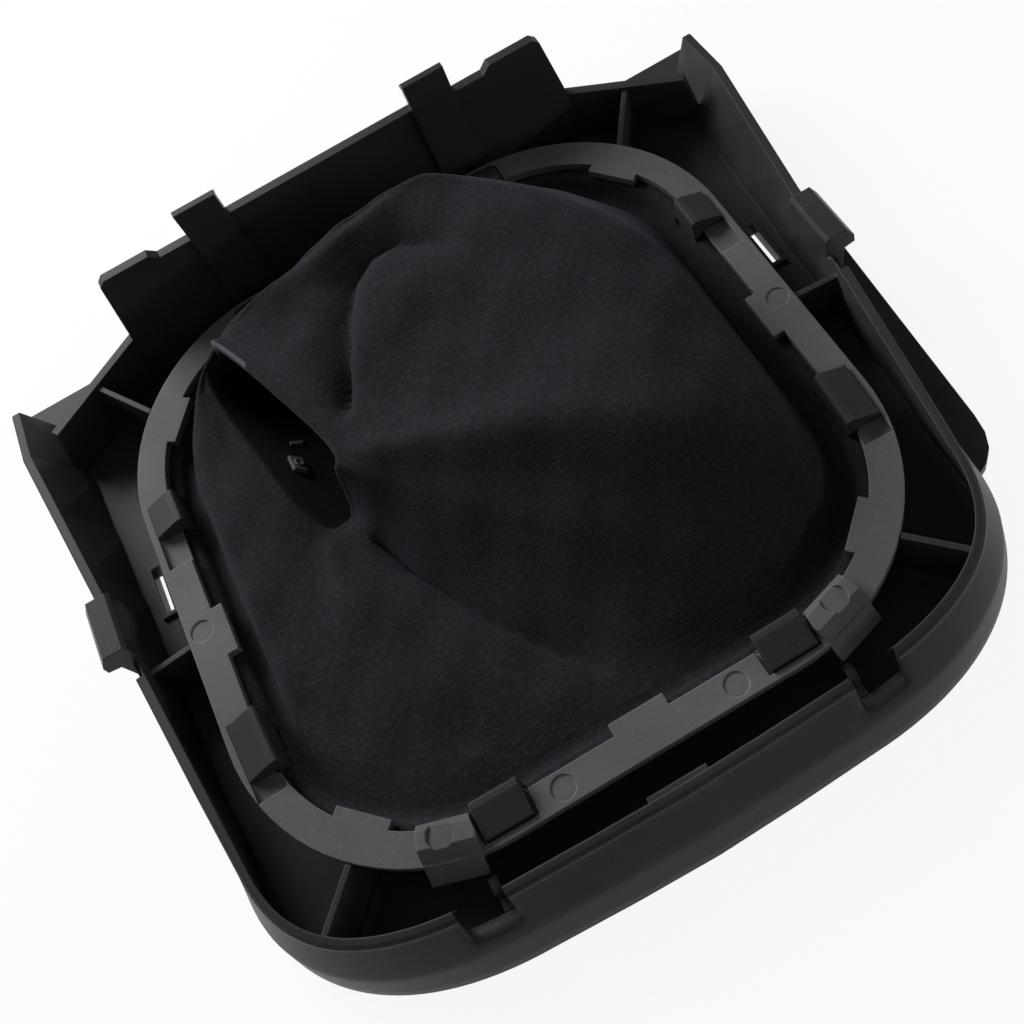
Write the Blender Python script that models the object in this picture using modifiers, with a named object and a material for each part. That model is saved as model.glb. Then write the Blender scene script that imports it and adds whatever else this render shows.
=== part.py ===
"""Gear shift boot: a folded cloth boot held between its trim bezel and a snap-in retaining ring.

It lies face down, as on a bench: the bezel's face plate is on the table, +Z is up, towards the
underside, and +Y is the rear, with the tall hooked panel. Lengths are in metres.
"""

import math

import bmesh
import bpy
import numpy as np
from mathutils import Matrix, Vector
from mathutils.geometry import interpolate_bezier

MM = 0.001

# Heights above the table
PLATE_THICK = 2.5 * MM
COLLAR_TOP = 12.0 * MM
CLEARANCE = 0.3 * MM
CLOTH_THICK = 0.7 * MM
CUT_SPARE = 3.0 * MM
RING_THICK = 1.7 * MM
RIM_ABOVE_RING = 0.5 * MM
ROOT_DEPTH = 1.5 * MM

# The seat: the ring's outer outline, a rounded rectangle about the boot's axis
SEAT_HALF_WIDTH = 59.2 * MM
SEAT_FRONT = 57.7 * MM
SEAT_REAR = 61.0 * MM
SEAT_RADIUS = 35.5 * MM
CORNER_STEPS = 20

# Retaining ring
RING_BAND = 5.4 * MM
TAB_REACH = 2.0 * MM
TAB_LAP = 1.0 * MM
TAB_WIDTH = 9.4 * MM
TAB_POINTS = ((1, -0.03), (0, -1), (0, 1), (0.75, -0.76), (0.76, 0.72))
POCKET_DEPTH = 1.0 * MM
POCKET_RIM = 1.2 * MM
POCKET_END_GAP = 0.6 * MM
MARK_RADIUS = 2.0 * MM
MARK_DEPTH = 0.25 * MM
FRONT_MARK_X = 14.8 * MM
LUG_WIDTH = 9.0 * MM
LUG_RISE = 2.3 * MM
LUG_DROP = 3.6 * MM
LUG_REACH = 1.9 * MM
LUG_BACK = 0.8 * MM
LUG_ROUND = 1.2 * MM
LUG_RAMP_START = 2.2 * MM
LUG_FOOT_START = 0.3 * MM
LUG_TOE = 1.2 * MM
LUG_X = 34.5 * MM
LUG_MARK_RADIUS = 2.2 * MM
LUG_MARK_ASIDE = 1.0 * MM
LUG_MARK_INSET = 3.8 * MM

# Snap hooks of the bezel: centre of each on the right half, width, and length of its pocket's empty end
HOOK_THICK = 1.6 * MM
HOOK_LIP = 2.5 * MM
HOOK_LIP_WIDTH = 1.0 * MM
HOOK_NOSE = 1.5 * MM
HOOK_LEAN = 0.4 * MM
HOOK_ROUND = 0.5 * MM
SIDE_REAR_HOOK = (57.0 * MM, 24.2 * MM, 6.9 * MM, 6.2 * MM)
SIDE_FRONT_HOOK = (57.0 * MM, -23.8 * MM, 10.4 * MM, 3.0 * MM)
FRONT_HOOK = (24.2 * MM, -55.0 * MM, 8.0 * MM, 0.0)
REAR_HOOK = (25.2 * MM, 58.0 * MM, 6.5 * MM, 0.0)

# Collar under the ring, and the opening that the boot hangs through
COLLAR_THICK = 1.6 * MM
OPENING_LEDGE = 2.5 * MM

# Face plate
PLATE_REAR = 74.0 * MM
PLATE_REAR_HALF = 79.5 * MM
FRONT_FOOT = 71.2 * MM
CORNER_Y = -42.0 * MM
FOOT_HALF_FRONT = 67.7 * MM
FLANGE_HALF = 73.7 * MM
FLANGE_Y = -32.0 * MM
FLANGE_CURVE = ((0.3 * MM, 5.5 * MM), (2.0 * MM, 8.0 * MM))
FLANGE_STATIONS = 5

# Skirt: side walls and rounded front wall, from foot to rim
SKIRT_THICK = 1.8 * MM
SKIRT_FOOT_THICK = 2.3 * MM
SKIRT_REAR = 64.0 * MM
FOOT_HALF_REAR = 71.5 * MM
RIM_TIP_HALF = 76.5 * MM
RIM_KINK_HALF = RIM_TIP_HALF + 0.4 * MM
RIM_KINK_Y = 52.5 * MM
RIM_HALF_FRONT = 64.3 * MM
RIM_FRONT = 65.5 * MM
FRONT_BULGE = 0.9 * MM
FRONT_EDGE_RADIUS = 1.5 * MM
SIDE_EDGE_RADIUS = 0.5 * MM
EDGE_TURNS = (30, 60, 90)
FRONT_SHAPE_START = 15.0 * MM
FRONT_SHAPE_RUN = 22.0 * MM
FRONT_RUN_X = 28.0 * MM
FOOT_CURVE = ((0.9 * MM, 14.5 * MM), (26.0 * MM, 1.7 * MM), 1.0 * MM)
RIM_CURVE = ((1.4 * MM, 12.5 * MM), (26.5 * MM, 1.3 * MM), 0.7 * MM)
RIM_CURVE_LEAD = 1.0 * MM
CROWN_SHARE = 0.35
SIDE_STATIONS = 6
BEND_STATIONS = 32

# Notches in the skirt
NOTCH_INNER = 29.0 * MM
NOTCH_OUTER = 36.9 * MM
NOTCH_DEPTH = 6.0 * MM
SIDE_NOTCH_WIDTH = 4.5 * MM
SIDE_NOTCH_DEPTH = 2.6 * MM

# Rear panel and its two snap arms
PANEL_Y = 65.9 * MM
PANEL_THICK = 2.0 * MM
PANEL_FOOT_HALF = 49.2 * MM
PANEL_TOP_HALF = 47.0 * MM
PANEL_EAR_TOP = 32.2 * MM
PANEL_EAR_INNER = 35.6 * MM
PANEL_STEP_TOP = 30.6 * MM
PANEL_MIDDLE_TOP = 31.8 * MM
EAR_ROUND = 1.2 * MM
EAR_SLOPE = 0.8 * MM
ARM_INNER = 19.6 * MM
ARM_OUTER = 28.1 * MM
ARM_TOP = 38.4 * MM
ARM_PROUD = 1.0 * MM
ARM_NOSE = 1.2 * MM
ARM_NOSE_DROP = 2.6 * MM
ARM_TIP = 1.4 * MM
ARM_BACK_INSET = 0.4 * MM

# Slanted walls between the rear panel and the skirt
SLANT_END_X = 71.1 * MM
SLANT_END_Y = 52.6 * MM
SLANT_FALL = 2.4 * MM
SLANT_THICK = 1.8 * MM
SLANT_START_IN = 0.1 * MM
SLANT_LAP = 0.9 * MM

# Side clips, slots and ribs
CLIP_FRONT = 2.5 * MM
CLIP_LENGTH = 11.7 * MM
CLIP_INNER = 68.2 * MM
CLIP_OUTER = 73.8 * MM
CLIP_RISE = 3.2 * MM
CLIP_ROOT_IN = 3.2 * MM
CLIP_NOSE_ROOT = (2.2 * MM, 1.6 * MM)
CLIP_NOSE = (1.2 * MM, 0.6 * MM)
CLIP_TIP_IN = 1.4 * MM
CLIP_ROUND = 0.6 * MM
SLOT_X = 64.2 * MM
SLOT_Y = 19.5 * MM
SLOT_LENGTH = 10.0 * MM
SLOT_WIDTH = 1.7 * MM
SLOT_EDGE = 0.9 * MM
SLOT_EDGE_RISE = 0.8 * MM
RIB_THICK = 1.0 * MM
RIB_DROP = 0.2 * MM
REAR_RIB = ((51.0 * MM, 46.0 * MM), (59.0 * MM, 60.2 * MM))
FRONT_RIB = ((46.8 * MM, -46.8 * MM), (56.4 * MM, -56.8 * MM))
SIDE_RIB_Y = -1.0 * MM
SIDE_RIB_END = 69.8 * MM
SIDE_RIB_FALL = 2.0 * MM
STEM_X = 30.3 * MM
STEM_THICK = 1.4 * MM
PAD_HALF = 5.0 * MM
PAD_THICK = 1.0 * MM
PAD_LAP = 0.5 * MM
PAD_HEIGHT = (7.0 * MM, 0.4 * MM)

# Boot cloth: net, clamp, groove round the inside, and mouth
NET_COLUMNS = 64
NET_ROWS = 15
FLANGE_INSET = 0.7 * MM
TURN_INSET = 6.1 * MM
TURN_DROP = 1.6 * MM
TURN_DEEP_INSET = 8.9 * MM
NET_INSET = 10.4 * MM
MOUTH_X = -31.0 * MM
MOUTH_Y = 26.0 * MM
MOUTH_LENGTH = 42.0 * MM
MOUTH_WIDTH = 11.0 * MM
MOUTH_TURN = math.radians(-80)
MOUTH_SQUARE = 0.72
MOUTH_RIM = (20.4 * MM, 4.6 * MM, 4.9 * MM)
MOUTH_LIP = 1.5 * MM
HEM_DEEP_SHARE = 0.4
HEM_LEAN = 7.5 * MM
HEM_BOTTOM = 4.5 * MM
HEM_SLIT = 2.4 * MM
PIN_REACH = 3.2 * MM
RELAX_PASSES = 400
SMOOTH_PASSES = 2

# Groove heights at the two edge rows, by bearing from the ring's centre in degrees
GROOVE = (
    (0, 8.0, 7.0),
    (45, 8.5, 9.0),
    (75, 15.0, 22.0),
    (100, 15.0, 22.0),
    (130, 10.5, 12.0),
    (180, 10.0, 11.5),
    (225, 9.5, 10.0),
    (270, 9.5, 10.0),
    (315, 9.0, 9.0),
    (360, 8.0, 7.0),
)

# Fold lines of the boot, as x, y and height in millimetres
AROUND = (
    # crest over the rear and shoulder down the right-hand side
    (
        (-25.0, 46.0, 28.5),
        (-18.0, 46.8, 31.0),
        (-11.0, 48.0, 32.5),
        (-4.0, 49.0, 34.0),
        (8.0, 49.5, 35.0),
        (14.0, 48.5, 34.5),
        (20.0, 45.5, 32.0),
        (30.0, 36.0, 30.5),
        (38.0, 24.5, 29.5),
        (42.5, 13.0, 29.0),
        (43.0, 0.0, 28.5),
        (43.0, -14.0, 27.5),
        (42.0, -26.0, 24.0),
        (40.0, -35.0, 19.0),
    ),
    # left-hand fold of the lower sheet
    (
        (-46.5, 27.0, 17.0),
        (-48.5, 14.0, 17.0),
        (-48.5, 0.0, 15.5),
        (-48.0, -16.0, 13.5),
    ),
)
ALONG = (
    # sharp crease from the crest down to the mouth
    ((-5.0, 40.0, 33.0), (-8.5, 33.0, 32.0), (-12.0, 26.0, 30.5), (-16.0, 18.5, 27.0), (-20.5, 12.0, 20.5)),
    # front roll, the second ridge
    ((-7.0, 27.0, 32.5), (3.0, 13.5, 33.5), (14.0, -3.0, 33.0), (26.0, -15.0, 31.0), (35.0, -25.0, 28.0)),
    # hollow between the crest and the roll
    ((2.0, 41.0, 31.0), (11.0, 30.0, 28.5), (22.0, 12.5, 28.0), (33.0, -3.0, 27.5)),
    # front of the lump above the valley
    ((-16.0, 3.0, 24.0), (-5.0, -12.0, 24.5), (5.0, -23.0, 23.5), (13.0, -33.0, 20.5)),
    # valley between the lump and the lower sheet
    ((-25.0, 2.0, 14.0), (-21.0, -9.0, 12.0), (-12.5, -25.0, 11.0), (-5.0, -36.0, 10.5), (0.0, -44.0, 10.0)),
    # lower sheet in front of the valley
    ((-33.0, -2.0, 17.0), (-27.0, -20.0, 15.5), (-20.0, -36.0, 13.0)),
)

RING_LOW = COLLAR_TOP + CLOTH_THICK + 2 * CLEARANCE
RING_TOP = RING_LOW + RING_THICK
RIM_TOP = RING_TOP + RIM_ABOVE_RING
FLANGE_MID = COLLAR_TOP + CLEARANCE + CLOTH_THICK / 2
COLLAR_INSET = RING_BAND - 0.2 * MM - COLLAR_THICK
POST_INSET = RING_BAND + CLEARANCE
OPENING_INSET = COLLAR_INSET + COLLAR_THICK + OPENING_LEDGE
CORE_HALF = SEAT_HALF_WIDTH - SEAT_RADIUS
CORE_FRONT = SEAT_RADIUS - SEAT_FRONT
CORE_REAR = SEAT_REAR - SEAT_RADIUS
SIDES = (1, -1)
HOOKS = (SIDE_REAR_HOOK, SIDE_FRONT_HOOK, FRONT_HOOK, REAR_HOOK)


def clear_scene():
    for obj in list(bpy.data.objects):
        bpy.data.objects.remove(obj)


def collection(name):
    found = bpy.data.collections.new(name)
    bpy.context.scene.collection.children.link(found)
    return found


def material(name, colour, roughness):
    made = bpy.data.materials.new(name)
    made.use_nodes = True
    shader = made.node_tree.nodes["Principled BSDF"]
    shader.inputs["Base Color"].default_value = (*colour, 1)
    shader.inputs["Roughness"].default_value = roughness
    shader.inputs["Metallic"].default_value = 0
    return made


def as_object(name, mesh, home):
    obj = bpy.data.objects.new(name, mesh)
    home.objects.link(obj)
    return obj


def tidy(mesh):
    """Welds loose caps and turns every face outwards."""
    cage = bmesh.new()
    cage.from_mesh(mesh)
    bmesh.ops.remove_doubles(cage, verts=cage.verts, dist=1e-6)
    bmesh.ops.recalc_face_normals(cage, faces=cage.faces)
    cage.to_mesh(mesh)
    cage.free()


def slab(name, outlines, low, high, home, place=Matrix()):
    """A flat outline, with any holes, made solid from low to high along the place's own Z."""
    curve = bpy.data.curves.new(name, "CURVE")
    curve.dimensions = "2D"
    curve.fill_mode = "BOTH"
    curve.extrude = (high - low) / 2
    for outline in outlines:
        spline = curve.splines.new("POLY")
        spline.points.add(len(outline) - 1)
        for point, (x, y) in zip(spline.points, outline):
            point.co = (x, y, 0, 1)
        spline.use_cyclic_u = True
    guide = as_object(name + "_outline", curve, home)
    guide.matrix_world = place @ Matrix.Translation((0, 0, (low + high) / 2))
    bpy.context.view_layer.update()
    graph = bpy.context.evaluated_depsgraph_get()
    mesh = bpy.data.meshes.new_from_object(guide.evaluated_get(graph))
    mesh.transform(guide.matrix_world)
    tidy(mesh)
    bpy.data.objects.remove(guide)
    return as_object(name, mesh, home)


def rectangle(x_low, x_high, y_low, y_high):
    return [(x_low, y_low), (x_high, y_low), (x_high, y_high), (x_low, y_high)]


def box(name, x_low, x_high, y_low, y_high, low, high, home):
    return slab(name, [rectangle(x_low, x_high, y_low, y_high)], low, high, home)


def upright(start, end):
    """A frame standing on the table: X from start to end in plan, Y up, Z across."""
    run = (Vector(end) - Vector(start)).normalized()
    across = Vector((run.y, -run.x))
    place = Matrix.Identity(4)
    place.col[0] = (run.x, run.y, 0, 0)
    place.col[1] = (0, 0, 1, 0)
    place.col[2] = (across.x, across.y, 0, 0)
    place.col[3] = (start[0], start[1], 0, 1)
    return place


def seat_point(x, y, inset):
    """The point of the seat's outline nearest to (x, y), moved in by inset, and the way out."""
    core = Vector((max(-CORE_HALF, min(CORE_HALF, x)), max(CORE_FRONT, min(CORE_REAR, y))))
    way = (Vector((x, y)) - core).normalized()
    return core + way * (SEAT_RADIUS - inset), way


def seat_outline(inset):
    """The seat's rounded outline moved in by inset, counter-clockwise from the right-hand side."""
    radius = SEAT_RADIUS - inset
    corners = (
        (CORE_HALF, CORE_REAR, 0),
        (-CORE_HALF, CORE_REAR, 90),
        (-CORE_HALF, CORE_FRONT, 180),
        (CORE_HALF, CORE_FRONT, 270),
    )
    points = []
    for x, y, start in corners:
        for step in range(CORNER_STEPS + 1):
            turn = math.radians(start + 90 * step / CORNER_STEPS)
            points.append((x + radius * math.cos(turn), y + radius * math.sin(turn)))
    return points


def seat_frame(x, y):
    """A frame at the seat's edge: X outwards, Y up, Z along the edge."""
    point, way = seat_point(x, y, 0)
    return upright(point, point + way)


def across_seat(name, x, y, profile, width, home, spare=0):
    """A profile of (outwards from the seat's edge, height) carried along the edge by its width, and by
    a spare length further towards the front."""
    place = seat_frame(x, y)
    low, high = -width / 2, width / 2
    if place.col[2].y > 0:
        low -= spare
    else:
        high += spare
    return slab(name, [profile], low, high, home, place)


def combine(target, operation, tools):
    """Joins or cuts the target with every object of a collection."""
    modifier = target.modifiers.new(tools.name, "BOOLEAN")
    modifier.operation = operation
    modifier.operand_type = "COLLECTION"
    modifier.collection = tools
    modifier.solver = "EXACT"
    for tool in tools.objects:
        tool.hide_render = True
        tool.display_type = "WIRE"


def bend(start, start_handle, end_handle, end, count):
    """Points of one Bezier bend in plan, both ends included."""
    knots = [Vector((*point, 0)) for point in (start, start_handle, end_handle, end)]
    return [(point.x, point.y) for point in interpolate_bezier(*knots, count)]


def foot_bend(inset):
    """The front corner of the skirt's foot, moved in by inset."""
    side, front, crown = FOOT_CURVE
    return bend(
        (FOOT_HALF_FRONT - inset, CORNER_Y),
        (FOOT_HALF_FRONT - side[0] - inset, CORNER_Y - side[1]),
        (FRONT_RUN_X + front[0] - inset, front[1] - FRONT_FOOT + inset),
        (FRONT_RUN_X, crown - FRONT_FOOT + inset),
        BEND_STATIONS,
    )


def rim_bend():
    """The front corner of the skirt's rim."""
    side, front, crown = RIM_CURVE
    return bend(
        (RIM_HALF_FRONT, CORNER_Y + RIM_CURVE_LEAD),
        (RIM_HALF_FRONT - side[0], CORNER_Y - side[1]),
        (FRONT_RUN_X + front[0], front[1] - RIM_FRONT),
        (FRONT_RUN_X, crown - RIM_FRONT),
        BEND_STATIONS,
    )


def skirt_stations():
    """Pairs of foot point and rim point down the right-hand side and round to the middle."""
    foot = [(FOOT_HALF_REAR, SKIRT_REAR)]
    rim = [(RIM_TIP_HALF, SKIRT_REAR)]
    for step in range(SIDE_STATIONS):
        share = step / SIDE_STATIONS
        y = RIM_KINK_Y + (CORNER_Y + RIM_CURVE_LEAD - RIM_KINK_Y) * share
        drop = (SKIRT_REAR - y) / (SKIRT_REAR - CORNER_Y)
        foot.append((FOOT_HALF_REAR + (FOOT_HALF_FRONT - FOOT_HALF_REAR) * drop, y))
        rim.append((RIM_KINK_HALF + (RIM_HALF_FRONT - RIM_KINK_HALF) * share, y))
    foot += foot_bend(0)
    rim += rim_bend()
    foot += [(FRONT_RUN_X / 2, FOOT_CURVE[2] * CROWN_SHARE - FRONT_FOOT), (0, -FRONT_FOOT)]
    rim += [(FRONT_RUN_X / 2, RIM_CURVE[2] * CROWN_SHARE - RIM_FRONT), (0, -RIM_FRONT)]
    return list(zip(foot, rim))


def skirt_section(foot, rim, way_in, front_share):
    """Closed section of the skirt: up the outer face, over the rounded rim and down the inner face."""
    foot, rim, way_in = Vector(foot), Vector(rim), Vector(way_in)
    radius = SIDE_EDGE_RADIUS + (FRONT_EDGE_RADIUS - SIDE_EDGE_RADIUS) * front_share
    shoulder = RIM_TOP - radius
    middle = (foot + rim) / 2 - way_in * FRONT_BULGE * front_share
    section = [(*foot, 0), (*middle, shoulder / 2), (*rim, shoulder)]
    for turn in EDGE_TURNS:
        inwards = radius * (1 - math.cos(math.radians(turn)))
        upwards = radius * math.sin(math.radians(turn))
        section.append((*(rim + way_in * inwards), shoulder + upwards))
    section.append((*(rim + way_in * SKIRT_THICK), RIM_TOP))
    section.append((*(foot + way_in * SKIRT_FOOT_THICK), 0))
    return section


def loft(name, sections, home):
    """A solid through closed sections of equal length, capped at both ends."""
    cage = bmesh.new()
    rings = [[cage.verts.new(point) for point in section] for section in sections]
    count = len(sections[0])
    for near, far in zip(rings, rings[1:]):
        for index in range(count):
            after = (index + 1) % count
            cage.faces.new((near[index], near[after], far[after], far[index]))
    cage.faces.new(rings[0])
    cage.faces.new(reversed(rings[-1]))
    bmesh.ops.recalc_face_normals(cage, faces=cage.faces)
    bmesh.ops.triangulate(cage, faces=cage.faces)
    mesh = bpy.data.meshes.new(name)
    cage.to_mesh(mesh)
    cage.free()
    return as_object(name, mesh, home)


def make_skirt(home):
    half = skirt_stations()
    mirrored = [((-foot[0], foot[1]), (-rim[0], rim[1])) for foot, rim in reversed(half[:-1])]
    stations = half + mirrored
    sections = []
    for index, (foot, rim) in enumerate(stations):
        before = Vector(stations[max(index - 1, 0)][1])
        after = Vector(stations[min(index + 1, len(stations) - 1)][1])
        run = (after - before).normalized()
        way_in = (run.y, -run.x)
        front_share = (CORNER_Y + FRONT_SHAPE_START - rim[1]) / FRONT_SHAPE_RUN
        front_share = max(0.0, min(1.0, front_share))
        if rim[1] == SKIRT_REAR:
            way_in = (-math.copysign(1, rim[0]), 0)
        sections.append(skirt_section(foot, rim, way_in, front_share))
    return loft("skirt", sections, home)


def plate_outline():
    """The face plate: straight rear, wide rear corners, front following the skirt's foot."""
    inset = SKIRT_THICK / 2
    start, end = FLANGE_CURVE
    right = [(PLATE_REAR_HALF, PLATE_REAR)]
    right += bend(
        (FLANGE_HALF, FLANGE_Y),
        (FLANGE_HALF - start[0], FLANGE_Y - start[1]),
        (FLANGE_HALF - end[0], FLANGE_Y - end[1]),
        (FOOT_HALF_FRONT - inset, CORNER_Y),
        FLANGE_STATIONS,
    )
    front = foot_bend(inset)[1:]
    middle = [(0, inset - FRONT_FOOT)]
    left = [(-x, y) for x, y in reversed(front)] + [(inset - FOOT_HALF_FRONT, CORNER_Y)]
    left += [(-PLATE_REAR_HALF, PLATE_REAR)]
    return right + front + middle + left


def make_collar(home):
    outlines = [seat_outline(COLLAR_INSET), seat_outline(COLLAR_INSET + COLLAR_THICK)]
    slab("collar", outlines, PLATE_THICK - ROOT_DEPTH, COLLAR_TOP, home)


def make_rear_panel(home):
    """The tall panel: tapered ears at the ends, a low step beside each arm."""
    root = PLATE_THICK - ROOT_DEPTH
    half = [
        (PANEL_FOOT_HALF, root),
        (PANEL_FOOT_HALF, RIM_TOP),
        (PANEL_TOP_HALF, PANEL_EAR_TOP - EAR_ROUND),
        (PANEL_TOP_HALF - EAR_ROUND, PANEL_EAR_TOP),
        (PANEL_EAR_INNER + EAR_SLOPE, PANEL_EAR_TOP),
        (PANEL_EAR_INNER - EAR_SLOPE, PANEL_STEP_TOP),
        (ARM_OUTER, PANEL_STEP_TOP),
        (ARM_OUTER, PANEL_MIDDLE_TOP),
        (0, PANEL_MIDDLE_TOP),
    ]
    outline = half + [(-x, z) for x, z in reversed(half[:-1])]
    slab("rear_panel", [outline], -PANEL_THICK, 0, home, upright((0, PANEL_Y), (1, PANEL_Y)))


def make_snap_arms(home):
    """Two arms proud of the rear panel, each with a nose on the far side of its tip."""
    back = PANEL_Y + PANEL_THICK
    face = PANEL_Y - ARM_PROUD
    nose = ARM_TOP - ARM_NOSE_DROP
    profile = [
        (face, COLLAR_TOP),
        (back - ARM_BACK_INSET, COLLAR_TOP),
        (back - ARM_BACK_INSET, nose),
        (back + ARM_NOSE, nose),
        (face + ARM_TIP, ARM_TOP),
        (face, ARM_TOP),
    ]
    for side in SIDES:
        start, end = sorted((side * ARM_INNER, side * ARM_OUTER))
        place = upright((0, 0), (0, 1))
        slab("snap_arm", [profile], start, end, home, place)


def make_slanted_walls(home):
    for side in SIDES:
        start = Vector((side * (PANEL_FOOT_HALF - SLANT_START_IN), PANEL_Y))
        end = Vector((side * SLANT_END_X, SLANT_END_Y))
        length = (end - start).length
        root = PLATE_THICK - ROOT_DEPTH
        outline = [
            (-SLANT_LAP, root),
            (length, root),
            (length, PLATE_THICK),
            (length - SLANT_FALL, RIM_TOP),
            (-SLANT_LAP, RIM_TOP),
        ]
        low, high = sorted((-side * SLANT_THICK, 0))
        slab("slanted_wall", [outline], low, high, home, upright(start, end))


def make_rib(start, end, top, end_top, home):
    length = (Vector(end) - Vector(start)).length
    root = PLATE_THICK - ROOT_DEPTH
    outline = [(0, root), (length, root), (length, end_top), (0, top)]
    slab("rib", [outline], -RIB_THICK / 2, RIB_THICK / 2, home, upright(start, end))


def make_ribs(home):
    top = RING_TOP - RIB_DROP
    for side in SIDES:
        for near, far in (REAR_RIB, FRONT_RIB):
            start, _ = seat_point(*near, COLLAR_INSET + COLLAR_THICK / 2)
            make_rib((side * start.x, start.y), (side * far[0], far[1]), top, top, home)
        start, _ = seat_point(SIDE_RIB_END, SIDE_RIB_Y, COLLAR_INSET + COLLAR_THICK / 2)
        end = (side * SIDE_RIB_END, SIDE_RIB_Y)
        make_rib((side * start.x, start.y), end, top, top - SIDE_RIB_FALL, home)
        x_low, x_high = sorted((side * (STEM_X - STEM_THICK / 2), side * (STEM_X + STEM_THICK / 2)))
        front, back = SKIRT_THICK / 2 - RIM_FRONT, -SEAT_FRONT - LUG_REACH - CLEARANCE
        box("stem", x_low, x_high, front, back, PLATE_THICK - ROOT_DEPTH, COLLAR_TOP, home)


def make_side_clips(home):
    """A clip on each side wall: straight inside, a wedge nose outside above the rim."""
    top = RIM_TOP + CLIP_RISE
    root_in, root_drop = CLIP_NOSE_ROOT
    nose_low, nose_high = CLIP_NOSE
    for side in SIDES:
        profile = [
            (side * CLIP_INNER, COLLAR_TOP / 2),
            (side * (CLIP_OUTER - CLIP_ROOT_IN), COLLAR_TOP / 2),
            (side * (CLIP_OUTER - root_in), RIM_TOP - root_drop),
            (side * CLIP_OUTER, RIM_TOP - nose_low),
            (side * CLIP_OUTER, RIM_TOP + nose_high),
            (side * (CLIP_OUTER - CLIP_TIP_IN), top),
            (side * (CLIP_INNER + CLIP_ROUND), top),
            (side * CLIP_INNER, top - CLIP_ROUND),
        ]
        place = upright((0, 0), (1, 0))
        slab("side_clip", [profile], -CLIP_FRONT - CLIP_LENGTH, -CLIP_FRONT, home, place)


def make_slot_frames(home):
    width = SLOT_WIDTH / 2 + SLOT_EDGE
    length = SLOT_LENGTH / 2 + SLOT_EDGE
    for side in SIDES:
        x_low, x_high = side * SLOT_X - width, side * SLOT_X + width
        low, high = PLATE_THICK - ROOT_DEPTH, PLATE_THICK + SLOT_EDGE_RISE
        box("slot_frame", x_low, x_high, SLOT_Y - length, SLOT_Y + length, low, high, home)


def make_snap_hooks(home):
    """Eight posts inside the ring's band, each with a nose that slopes out over the ring's pocket."""
    inner = -POST_INSET - HOOK_THICK
    outer = -POST_INSET
    seat = RING_TOP - POCKET_DEPTH + CLEARANCE
    top = RING_TOP + HOOK_LIP
    tip = -POCKET_RIM - CLEARANCE
    profile = [
        (inner, PLATE_THICK - ROOT_DEPTH),
        (outer, PLATE_THICK - ROOT_DEPTH),
        (outer, seat),
        (tip, seat),
        (tip, seat + HOOK_NOSE),
        (inner + HOOK_LIP_WIDTH + HOOK_LEAN, top),
        (inner + HOOK_LEAN, top),
        (inner, top - HOOK_ROUND),
    ]
    for x, y, width, _ in HOOKS:
        for side in SIDES:
            across_seat("snap_hook", side * x, y, profile, width, home)


def hook_room(low, high):
    """The section that a hook's post needs, with a gap on each side."""
    return rectangle(-POST_INSET - HOOK_THICK - CLEARANCE, CLEARANCE - POST_INSET, low, high)


def cut_notches(home):
    """Openings in the skirt's rim, the slots in the plate and the room that the ring needs."""
    seat = [seat_outline(-CLEARANCE)]
    above = ARM_TOP + CUT_SPARE
    slab("ring_room", seat, COLLAR_TOP, above, home)
    for side in SIDES:
        x_low, x_high = sorted((side * NOTCH_INNER, side * NOTCH_OUTER))
        front, back = -FRONT_FOOT - CUT_SPARE, CUT_SPARE - RIM_FRONT
        box("rim_notch", x_low, x_high, front, back, RIM_TOP - NOTCH_DEPTH, above, home)
        x_low, x_high = sorted((side * CLIP_INNER, side * (RIM_TIP_HALF + CUT_SPARE)))
        front = CLIP_FRONT - SIDE_NOTCH_WIDTH
        low = RIM_TOP - SIDE_NOTCH_DEPTH
        box("side_notch", x_low, x_high, front, CLIP_FRONT, low, above, home)
        x_low, x_high = side * SLOT_X - SLOT_WIDTH / 2, side * SLOT_X + SLOT_WIDTH / 2
        front, back = SLOT_Y - SLOT_LENGTH / 2, SLOT_Y + SLOT_LENGTH / 2
        box("plate_slot", x_low, x_high, front, back, -CUT_SPARE, PLATE_THICK + CUT_SPARE, home)


def make_front_pad(home):
    """A thin pad on the inner face of the front wall's rim, at the middle."""
    inner = SKIRT_THICK - RIM_FRONT
    low, high = RIM_TOP - PAD_HEIGHT[0], RIM_TOP - PAD_HEIGHT[1]
    box("front_pad", -PAD_HALF, PAD_HALF, inner - PAD_LAP, inner + PAD_THICK, low, high, home)


def make_bezel(parts):
    plate = [plate_outline(), seat_outline(OPENING_INSET)]
    bezel = slab("trim_bezel", plate, 0, PLATE_THICK, parts)
    walls = collection("bezel_walls")
    make_skirt(walls)
    make_collar(walls)
    make_rear_panel(walls)
    make_snap_arms(walls)
    make_slanted_walls(walls)
    make_ribs(walls)
    make_side_clips(walls)
    make_slot_frames(walls)
    make_front_pad(walls)
    cuts = collection("bezel_cutters")
    cut_notches(cuts)
    hooks = collection("bezel_hooks")
    make_snap_hooks(hooks)
    return bezel, (("UNION", walls), ("DIFFERENCE", cuts), ("UNION", hooks))


def make_ring_tabs(home):
    """Short tabs inside the band that press on the cloth between the hooks."""
    inner = -RING_BAND - TAB_REACH
    profile = rectangle(inner, TAB_LAP - RING_BAND, RING_LOW, RING_TOP)
    for x_share, y_share in TAB_POINTS:
        for side in SIDES if x_share else (1,):
            x, y = side * x_share * SEAT_HALF_WIDTH, y_share * SEAT_FRONT
            across_seat("tab", x, y, profile, TAB_WIDTH, home)


def lug_point():
    return LUG_X, CORE_FRONT - SEAT_RADIUS


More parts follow.
